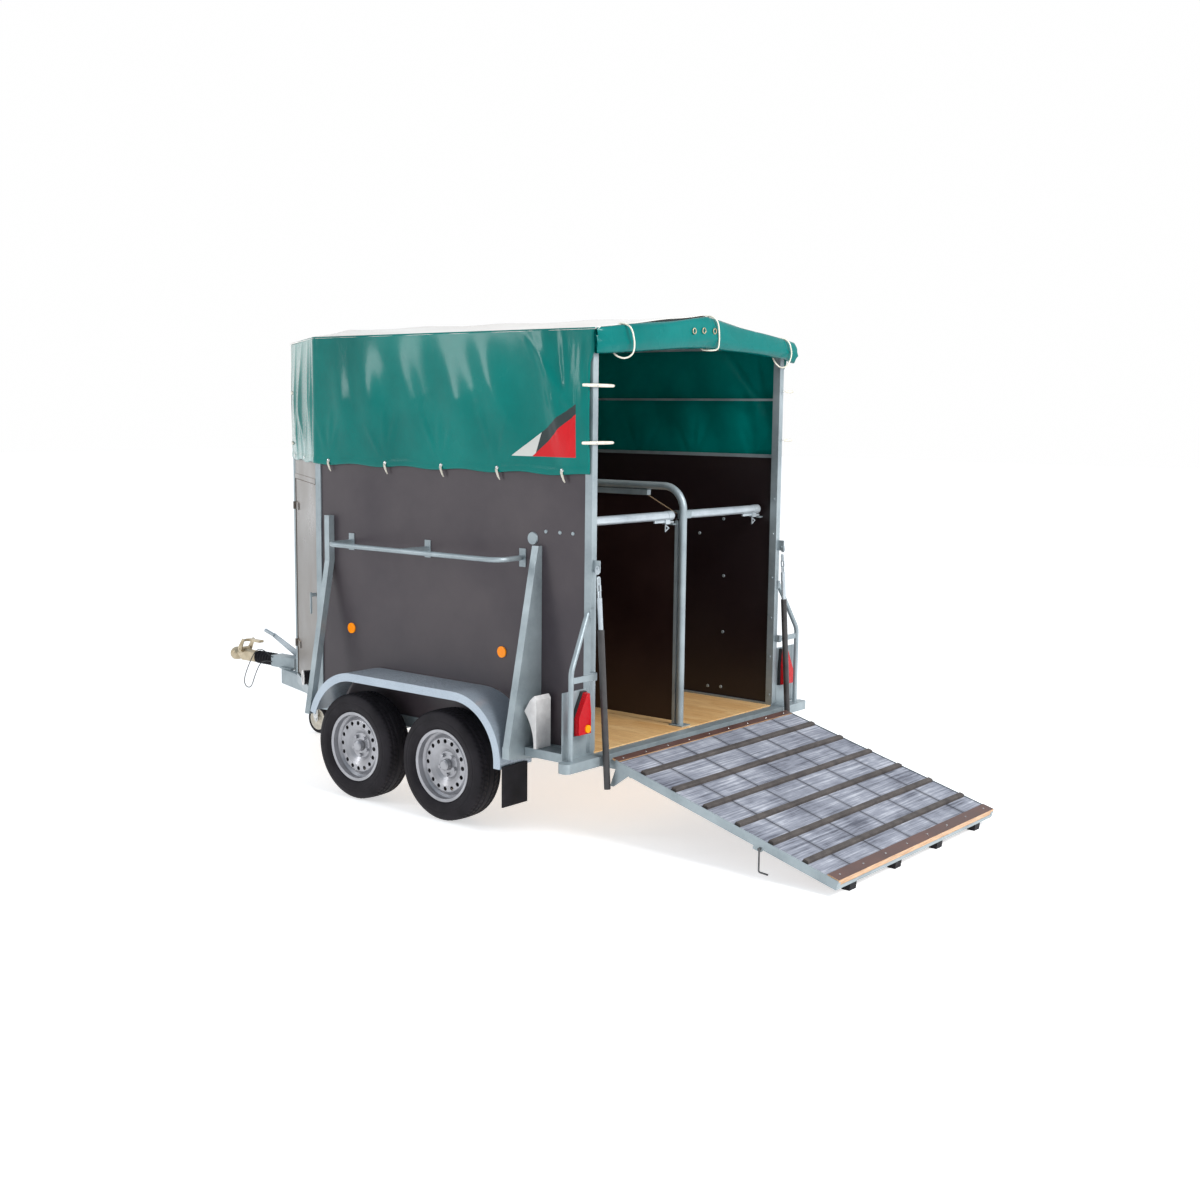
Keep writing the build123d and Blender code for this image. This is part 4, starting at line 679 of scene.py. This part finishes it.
def roof_height(x, y):
    """Height of the roof cloth: a gable hipped down to the eaves round the nose."""
    rise = RIDGE_TOP - EAVE_TOP
    gable = EAVE_TOP + rise * (1 - abs(x) / ROOF_EDGE)
    a = Vector((ROOF_EDGE, ROOF_BEND, EAVE_TOP))
    b = Vector((NOSE_EDGE, ROOF_FRONT, EAVE_TOP))
    c = Vector((0, RIDGE_END, RIDGE_TOP))
    normal = (b - a).cross(c - a)
    hip = a.z - (normal.x * (abs(x) - a.x) + normal.y * (y - a.y)) / normal.z
    front = RIDGE_TOP - rise * (y - RIDGE_END) / (ROOF_FRONT - RIDGE_END)
    return min(gable, hip, front)


def roof_sheet():
    """White roof cloth, sagging a little between the bows and turned down over the side sheets."""
    bows = [REAR + b for b in (0.015, 0.712, 1.412, 2.073, 2.9)]
    stations, columns, lip = 120, 80, 0.010
    rows = []
    for i in range(stations + 1):
        y = ROOF_BACK + (ROOF_FRONT - ROOF_BACK) * i / stations
        half = ROOF_EDGE
        if y >= ROOF_BEND:
            half += (NOSE_EDGE - ROOF_EDGE) * (y - ROOF_BEND) / (ROOF_FRONT - ROOF_BEND)
        spot = min(abs(y - b) for b in bows)
        sag = 0.009 * min(1.0, spot / 0.3)
        row = []
        for j in range(columns + 1):
            x = half * (2 * j / columns - 1)
            edge = min(1.0, (half - abs(x)) / 0.12)
            z = roof_height(x, y) - sag * edge
            z += 0.0025 * edge * math.sin(9.0 * y + 4.0 * abs(x)) * math.sin(13.0 * x)
            drop = max(0.0, abs(x) - (half - lip)) / lip
            row.append((x - math.copysign(0.003, x) * drop, y, z - lip * drop * drop))
        rows.append(row)
    ob = put("tarp_roof", grid_mesh("tarp_roof", rows), "roof", "trailer", ["roof_tarp"])
    thicken(ob, -1.0)


roof_sheet()

ROLL_WIDTH = 1.762
ROLL_LOW = ((-0.8765, 2.468), (-0.50, 2.497), (0.0, 2.528), (0.62, 2.508), (0.80, 2.500), (0.8765, 2.478))


def roll_low(x):
    """Height of the roll's underside, sagging and uneven across the trailer."""
    return float(np.interp(x, [p[0] for p in ROLL_LOW], [p[1] for p in ROLL_LOW]))


def rear_roll():
    """The rear curtain rolled up under the gable: a flattened spiral of cloth, nine turns deep."""
    turns, per_turn, stations = 9, 26, 110
    back, front = REAR - 0.086, REAR - 0.008
    squareness, start_angle, thinning = 0.72, 1.2, 0.078
    rows = []
    for i in range(stations + 1):
        x = -ROLL_WIDTH / 2 + ROLL_WIDTH * i / stations
        top = EAVE_TOP - 0.003 + (RIDGE_TOP - EAVE_TOP - 0.008) * (1 - abs(x) / ROOF_EDGE)
        low = roll_low(x)
        bulge = 0.32 + 0.68 * min(1.0, (x + ROLL_WIDTH / 2) / 0.30) ** 0.6
        middle, half_z, half_y = (top + low) / 2, (top - low) / 2, (front - back) / 2 * bulge
        centre = front - half_y
        swell = 0.93 + 0.05 * math.sin(5.1 * x + 1.0) + 0.03 * math.sin(13.0 * x)
        row = []
        for k in range(turns * per_turn + 1):
            a = 2 * math.pi * k / per_turn
            shrink = 1 - thinning * k / per_turn
            c, s = math.cos(a + start_angle), math.sin(a + start_angle)
            py = math.copysign(abs(c) ** squareness, c) * half_y * shrink * swell
            pz = math.copysign(abs(s) ** squareness, s) * half_z * shrink
            crease = 0.0035 * math.sin(3 * a + 9 * x) * math.exp(-k / per_turn)
            if c < 0:  # a long dent along the outer face
                py -= 0.010 * bulge * math.exp(-((s + 0.25 + 0.12 * math.sin(3.4 * x)) / 0.10) ** 2)
            row.append((x + 0.004 * math.sin(k), centre + py * (1 + crease * 8), middle + pz + crease))
        rows.append(row)
    ob = put("curtain_roll", grid_mesh("curtain_roll", rows), "green_roll", "trailer",
             ["rear_curtain"])


rear_roll()


# ---------------------------------------------------------------- wheels
TREAD_FLOOR = 0.2925  # radius below which the tyre has no tread
GROOVES, GROOVE_HALF, GROOVE_DEPTH = (-0.052, -0.018, 0.018, 0.052), 0.004, 0.007
SIPES, SIPE_LEAN, SIPE_SHARE, SIPE_START, SIPE_DEPTH = 66, 2.2, 0.22, 0.022, 0.0045


def tyre_shape(x, r, a):
    """Tread: four grooves round the tyre and slanted sipes across its ribs."""
    if r < TREAD_FLOOR:
        return r
    depth = 0.0
    if any(abs(x - groove) < GROOVE_HALF for groove in GROOVES):
        depth = GROOVE_DEPTH
    pitch = 2 * math.pi / SIPES
    lean = a + SIPE_LEAN * abs(x)
    if (lean % pitch) / pitch < SIPE_SHARE and abs(x) > SIPE_START:
        depth = max(depth, SIPE_DEPTH)
    return r - depth


def tyre_mesh():
    sidewall = [
        (0.072, 0.245), (0.062, 0.205), (0.050, 0.1855), (0.066, 0.1855), (0.0705, 0.1915), (0.0715, 0.199),
        (0.079, 0.203), (0.083, 0.208), (0.0865, 0.2175), (0.0885, 0.2195), (0.0905, 0.228), (0.0922, 0.240),
        (0.0924, 0.2475), (0.0912, 0.2490), (0.0912, 0.2505), (0.0920, 0.2520), (0.0905, 0.262),
        (0.0880, 0.272), (0.0850, 0.280), (0.0815, 0.2865), (0.0765, 0.2920), (0.0705, 0.2962),
    ]
    step, crown, shoulder = 0.0035, 0.0035, 0.07
    tread = [(x, TYRE_R - crown * (x / shoulder) ** 2) for x in np.arange(0.0665, 0.0, -step).tolist()]
    half = sidewall + tread + [(0.0, TYRE_R)]
    profile = [(-x, r) for x, r in half] + [(x, r) for x, r in reversed(half[:-1])]
    return lathe_mesh("tyre", profile, 6 * SIPES, tyre_shape)


def wheels():
    """Four tyres of one mesh, mirrored so that both sides show the same face."""
    mesh = tyre_mesh()
    mesh.materials.append(M["tyre"])
    shade(mesh)
    for place, axle_y in AXLES.items():
        for hand, side in SIDES:
            ob = add_object(f"tyre_{place}_{hand}_tread", mesh)
            centre = Matrix.Translation((side * WHEEL_X, axle_y, TYRE_R))
            ob.matrix_world = centre @ Matrix.Scale(side, 4, (1, 0, 0))
            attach(ob, f"wheel_{place}_{hand}")
            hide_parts(f"tyre_{place}_{hand}")


wheels()


def brake_shields():
    """Dark backing plates behind the vents of the rims."""
    ring = [(-0.0425, 0.099), (-0.0425, 0.158), (-0.0400, 0.158), (-0.0400, 0.099), (-0.0425, 0.099)]
    for place, axle_y in AXLES.items():
        for hand, side in SIDES:
            name = f"brake_shield_{place}_{hand}"
            mesh = lathe_mesh(name, [(side * x, r) for x, r in ring], 64)
            mesh.transform(Matrix.Translation((side * WHEEL_X, axle_y, TYRE_R)))
            put(name, mesh, "drum", f"wheel_{place}_{hand}", smooth=False)


brake_shields()


# ---------------------------------------------------------------- ramp surface
RAMP_EDGE = Vector((0, REAR - 0.109, 0.447))
RAMP_OUT = Vector((0, -math.cos(SLOPE), -math.sin(SLOPE)))
RAMP_UP = Vector((0, -math.sin(SLOPE), math.cos(SLOPE)))


def ramp_matrix():
    """Local x across, y down the ramp, z up from it."""
    axes = Matrix((Vector((-1, 0, 0)), RAMP_OUT, RAMP_UP)).transposed().to_4x4()
    return Matrix.Translation(RAMP_EDGE) @ axes


def ramp_put(name, bm, material, replaces=()):
    mesh = mesh_of(name, bm)
    mesh.transform(ramp_matrix())
    put(name, mesh, material, "ramp", replaces, smooth=False)


def ramp_surface():
    """The rubber mat's backing, tiles and cross battens, and two rows of screws."""
    rng = np.random.default_rng(5)
    half, near_end, far_end, pitch = 0.820, 0.044, 1.308, 0.197
    batten_gap, edge_gap, seam_gap = 0.0175, 0.001, 0.0028
    seams = [-half, -0.60, -0.30, 0.0, 0.30, 0.60, half]
    rows = [near_end] + [pitch * k for k in range(1, 7)] + [far_end]
    backing = bmesh.new()
    box_into(backing, (-half, near_end, -0.0100), (half, far_end, -0.0065))
    ramp_put("ramp_mat_backing", backing, "seam", ["ramp_mat"])
    tiles = bmesh.new()
    for row, (near, far) in enumerate(zip(rows, rows[1:])):
        start = near + (batten_gap if row else edge_gap)
        end = far - (batten_gap if row < len(rows) - 2 else edge_gap)
        for west, east in zip(seams, seams[1:]):
            top = -0.0041 + rng.uniform(-0.0003, 0.0004)
            box_into(tiles, (west + seam_gap, start, -0.0070), (east - seam_gap, end, top), 0.0009)
    ramp_put("ramp_mat_tiles", tiles, "mat")
    battens = bmesh.new()
    foot = -0.0050
    outline = [(-0.0178, foot), (-0.0150, 0.0085), (-0.0115, 0.0117), (0.0115, 0.0117), (0.0150, 0.0085),
               (0.0178, foot)]
    for along in rows[1:-1]:
        ends = []
        for x, shrink in ((-0.813, 0.90), (-0.808, 1.0), (0.808, 1.0), (0.813, 0.90)):
            ends.append([battens.verts.new((x, along + p * shrink, foot + (q - foot) * shrink))
                         for p, q in outline])
        for a, b in zip(ends, ends[1:]):
            for k in range(len(outline) - 1):
                battens.faces.new((a[k], a[k + 1], b[k + 1], b[k]))
        battens.faces.new(list(reversed(ends[0])))
        battens.faces.new(ends[-1])
    bmesh.ops.recalc_face_normals(battens, faces=battens.faces)
    ramp_put("ramp_battens", battens, "batten")
    screws = bmesh.new()
    for along, top, count in ((0.0215, 0.0, 9), (1.340, 0.004, 8)):
        for k in range(count):
            x = -0.76 + 1.52 * k / (count - 1)
            made = bmesh.ops.create_uvsphere(screws, u_segments=12, v_segments=6, radius=0.0055)
            bmesh.ops.scale(screws, vec=(1, 1, 0.35), verts=made["verts"])
            bmesh.ops.translate(screws, vec=(x, along, top), verts=made["verts"])
    ramp_put("ramp_screws", screws, "chrome")


ramp_surface()


# ---------------------------------------------------------------- straps, hooks and ties
def tapered(bm, spots, widths, thickness, normal):
    """Adds a flat strap through spots, as wide as widths, standing on a normal."""
    normal = Vector(normal).normalized()
    rings = []
    for i, (spot, width) in enumerate(zip(spots, widths)):
        spot = Vector(spot)
        ahead = Vector(spots[min(i + 1, len(spots) - 1)]) - Vector(spots[max(i - 1, 0)])
        across = normal.cross(ahead).normalized() * width / 2
        lift = normal * thickness / 2
        corners = (-across - lift, across - lift, across + lift, -across + lift)
        rings.append([bm.verts.new(spot + corner) for corner in corners])
    for a, b in zip(rings, rings[1:]):
        for k in range(4):
            bm.faces.new((a[k], a[(k + 1) % 4], b[(k + 1) % 4], b[k]))
    bm.faces.new(list(reversed(rings[0])))
    bm.faces.new(rings[-1])


def stud(bm, spot, normal, radius, height):
    """Adds a button that stands on a normal."""
    turn = Vector((0, 0, 1)).rotation_difference(Vector(normal)).to_matrix().to_4x4()
    made = bmesh.ops.create_uvsphere(bm, u_segments=16, v_segments=8, radius=radius)
    bmesh.ops.scale(bm, vec=(1, 1, height / radius), verts=made["verts"])
    bmesh.ops.transform(bm, matrix=Matrix.Translation(spot) @ turn, verts=made["verts"])


REAR_STRAP_XS = {  # on the right only the tail beyond the post is out
    -1: (0.968, 0.963, 0.930, 0.880, 0.800, 0.740, 0.722, 0.716),
    1: (0.968, 0.963, 0.950, 0.935, 0.915, 0.895, 0.880, 0.874),
}
REAR_STRAP_WIDTHS = (0.008, 0.014, 0.016, 0.017, 0.017, 0.016, 0.012, 0.005)


def straps_and_hooks():
    """Straps round the rear posts and the nose, hooks and buttons along the hem, eyelets in the roll."""
    straps, hooks, studs = bmesh.new(), bmesh.new(), bmesh.new()
    stud_z = CLOTH_LOW + 0.020
    for _, side in SIDES:
        for z in (2.034, 2.317):
            y = REAR - 0.0085
            spots = [(side * x, y - 0.003 * math.sin((0.968 - x) * 12.4), z) for x in REAR_STRAP_XS[side]]
            tapered(straps, spots, REAR_STRAP_WIDTHS, 0.0022, (0, 1, 0))
            stud(studs, (side * 0.853, REAR - 0.0135, z), (0, -1, 0), 0.006, 0.003)
        for along in (0.192, 0.641, 1.056, 1.499, 1.978):
            x = side * 0.8795
            y = REAR + along
            stud(studs, (x + side * 0.003, y, stud_z), (side, 0, 0), 0.011, 0.006)
            hook = ((0.006, 0.002, -0.004), (0.008, -0.004, -0.022), (0.006, -0.013, -0.046),
                    (0.002, -0.020, -0.062))
            tapered(hooks, [(x + side * dx, y + dy, stud_z + dz) for dx, dy, dz in hook],
                    (0.015, 0.013, 0.010, 0.004), 0.005, (1, 0, 0))
    base = FRONT + NOSE_OUT * 0.0165
    for _, side in SIDES:
        normal = (side * NOSE_OUT.x, NOSE_OUT.y, 0)
        for z in (1.968, 2.287):
            spots = []
            for off in (-0.095, -0.06, -0.02, 0.0):
                p = base + NOSE_ALONG * off
                spots.append((side * p.x, p.y, z))
            for inward, ahead in ((0.03, 0.027), (0.07, 0.028)):
                spots.append((side * (base.x - inward), FRONT.y + ahead, z))
            tapered(straps, spots, (0.006, 0.018, 0.022, 0.022, 0.020, 0.010), 0.0035, normal)
        for share in (0.42, 0.86):
            p = CORNER + (FRONT - CORNER) * share + NOSE_OUT * 0.0145
            stud(studs, (side * p.x, p.y, stud_z), normal, 0.012, 0.005)
    put("tarp_straps", mesh_of("tarp_straps", straps), "webbing", "trailer",
        ["tarp_fasteners"])
    put("tarp_hooks", mesh_of("tarp_hooks", hooks), "webbing", "trailer")
    put("tarp_studs", mesh_of("tarp_studs", studs), "chrome", "trailer")
    eyelets = bmesh.new()
    ring_radius = 0.014
    for x, centre_z in ((-0.150, 2.614), (-0.062, 2.620), (0.036, 2.622)):
        spots = [(x + ring_radius * math.cos(a), REAR - 0.0885, centre_z + ring_radius * math.sin(a))
                 for a in np.linspace(0, 2 * math.pi, 24, endpoint=False)]
        ring = loop_mesh("ring", spots, 0.003, 8)
        eyelets.from_mesh(ring)
        bpy.data.meshes.remove(ring)
    put("curtain_eyelets", mesh_of("curtain_eyelets", eyelets), "zinc", "trailer")


straps_and_hooks()


def ties():
    """Rubber loops round the rolled curtain, each drooping below it as an open ring."""
    for name, x, lean, drop in (("left", -0.700, 0.028, 0.030), ("middle", 0.045, 0.022, 0.006),
                                ("right", 0.770, 0.026, 0.056)):
        top = roof_height(x, REAR) + 0.004
        low = roll_low(x)
        y_back, y_front = REAR - 0.091, REAR + 0.004
        loop = [
            (x, REAR - 0.020, top),
            (x + 0.1 * lean, REAR - 0.060, top - 0.002),
            (x + 0.25 * lean, y_back - 0.004, top - 0.020),
            (x + 0.7 * lean, y_back - 0.006, top - 0.065),
            (x + 1.1 * lean, y_back - 0.005, (top + low) / 2 - 0.02),
            (x + 1.05 * lean, y_back - 0.003, low + 0.005),
            (x + 0.7 * lean, y_back + 0.010, low - 0.55 * drop),
            (x, y_back + 0.030, low - drop),
            (x - 0.75 * lean, y_front - 0.035, low - 0.75 * drop),
            (x - 1.1 * lean, y_front - 0.012, low - 0.1 * drop),
            (x - lean, y_front, low + 0.03),
        ]
        ob = cord_curve(f"curtain_tie_{name}", loop, radius=0.0045, order=4, material="rope")
        if name == "left":
            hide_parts("curtain_ties")


ties()


# ---------------------------------------------------------------- bellows, jockey wheel and plug holder
def bellows():
    """Rubber gaiter with rounded folds, stretched between the housing and the coupling."""
    back, front, axis_z = REAR + 3.5905, REAR + 3.7995, 0.427
    folds, per = 7, 12
    inner_r, fold_depth = 0.0365, 0.0090
    profile = []
    for k in range(folds * per + 1):
        t = k / (folds * per)
        wave = 0.5 - 0.5 * math.cos(2 * math.pi * folds * t)
        profile.append((back + (front - back) * t, inner_r + fold_depth * wave ** 0.8))
    mesh = lathe_mesh("bellows_folds", profile, 48)
    mesh.transform(Matrix(((0, 1, 0, 0), (1, 0, 0, 0), (0, 0, 1, axis_z), (0, 0, 0, 1))))
    ob = add_object("bellows_folds", mesh)
    mesh.materials.append(M["rubber"])
    shade(mesh)
    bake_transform(ob)
    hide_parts("bellows")


bellows()


def jockey_wheel():
    """Solid rubber tyre on a pressed rim."""
    low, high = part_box("jockey_wheel")
    tyre = [(-0.018, 0.070), (-0.024, 0.074), (-0.0255, 0.082), (-0.0225, 0.091), (-0.0150, 0.0965),
            (-0.006, 0.0993)]
    tyre += [(0.0, 0.0997)] + [(-x, r) for x, r in reversed(tyre)]
    disc = [(-0.025, 0.0062), (-0.0255, 0.016), (-0.024, 0.019), (-0.010, 0.026), (-0.008, 0.050),
            (-0.014, 0.060), (-0.0215, 0.067), (-0.0225, 0.0735), (-0.018, 0.0735)]
    disc += [(-x, r) for x, r in reversed(disc)]
    for name, profile, material, slot in (("jockey_tyre", tyre, "rubber", "black_rubber"),
                                          ("jockey_rim", disc, "webbing", "white_plastic")):
        mesh = lathe_mesh(name, profile, 72)
        mesh.transform(Matrix.Translation((low + high) / 2))
        put(name, mesh, material, "jockey_wheel", ["jockey_wheel"] if name == "jockey_tyre" else ())


jockey_wheel()


def plug_holder():
    """Ribbed rubber holder that parks the towing plug, on the left slanted panel beside the corner post."""
    spot = CORNER + NOSE_ALONG * 0.058 + NOSE_OUT * 0.001
    base, axis = Vector((-spot.x, spot.y, 0.590)), Vector((-NOSE_OUT.x, NOSE_OUT.y, 0.0))
    ribs, rib, outer_r, groove_r = 7, 0.011, 0.043, 0.038
    profile = [(0.0, 0.012), (0.0, outer_r)]
    for k in range(ribs):
        start = 0.004 + k * rib
        profile += [(start, outer_r), (start + 0.006, outer_r), (start + 0.007, groove_r),
                    (start + 0.010, groove_r)]
    profile += [(0.083, outer_r), (0.083, 0.028)]
    flange = [(0.083, 0.028), (0.083, 0.046), (0.088, 0.046), (0.090, 0.043), (0.090, 0.030), (0.070, 0.029)]
    turn = Matrix.Translation(base) @ Vector((1, 0, 0)).rotation_difference(axis).to_matrix().to_4x4()
    for name, points, material, slot in (("plug_holder", profile, "rubber", "black_rubber"),
                                         ("plug_holder_flange", flange, "white_plastic", "white_plastic")):
        mesh = lathe_mesh(name, points, 48)
        mesh.transform(turn)
        put(name, mesh, material, "trailer")


plug_holder()


# ---------------------------------------------------------------- floor and light
def floor_plane():
    half = 60.0
    mesh = mesh_from("floor", [(-half, -half, 0), (half, -half, 0), (half, half, 0), (-half, half, 0)],
                     [(0, 1, 2, 3)])
    s = Shader("floor_paper", 0.9, Emission_Color=(1, 1, 1, 1), Emission_Strength=0.6)
    s.done(s.ramp(s.noise(0.6), (0.3, (0.70, 0.70, 0.70)), (0.7, (0.72, 0.72, 0.72))))
    mesh.materials.append(s.material)
    floor = add_object("floor", mesh)


def surroundings():
    """White ahead and on the right, dimmer behind the open end, blue-grey overhead."""
    world = bpy.data.worlds.new("studio")
    bpy.context.scene.world = world
    world.use_nodes = True
    nodes = Nodes(world.node_tree)
    height = nodes.ramp(nodes.split(nodes.generated)[2], (0.0, (1, 1, 1)), (0.30, (1, 1, 1)),
                        (0.55, (0.55, 0.62, 0.70)), (1.0, (0.80, 0.86, 0.92)))
    bright_side = (0.45, 0.55, 0.0)
    facing = nodes.node("VectorMath", {"operation": "DOT_PRODUCT"}, i0=nodes.generated, i1=bright_side)
    turn = nodes.ramp(nodes.math("ADD", facing.outputs["Value"], 0.5), (0.0, (0.62, 0.64, 0.66)),
                      (0.45, (0.78, 0.79, 0.80)), (0.72, (0.95, 0.95, 0.95)))
    background = nodes.tree.nodes["Background"]
    nodes.tree.links.new(nodes.mix(1.0, height, turn, "MULTIPLY"), background.inputs["Color"])
    background.inputs["Strength"].default_value = 1.05


def area_light(name, spot, target, size, power):
    data = bpy.data.lights.new(name, "AREA")
    data.shape = "RECTANGLE"
    data.size, data.size_y = size
    data.energy = power
    ob = add_object(name, data)
    ob.location = spot
    ob.rotation_mode = "QUATERNION"
    ob.rotation_quaternion = (Vector(target) - Vector(spot)).to_track_quat("-Z", "Y")


floor_plane()
surroundings()
area_light("key", (-0.3, -7.5, 6.0), (0, -1.0, 0.8), size=(4.0, 3.0), power=640)
area_light("streaks", (-7.5, 6.0, 5.0), (-0.9, 0.3, 2.2), size=(1.3, 4.0), power=165)
area_light("nose", (2.5, 9.0, 2.5), (-0.6, 1.2, 1.5), size=(5.0, 3.5), power=22)
bpy.context.scene.view_settings.view_transform = "Standard"
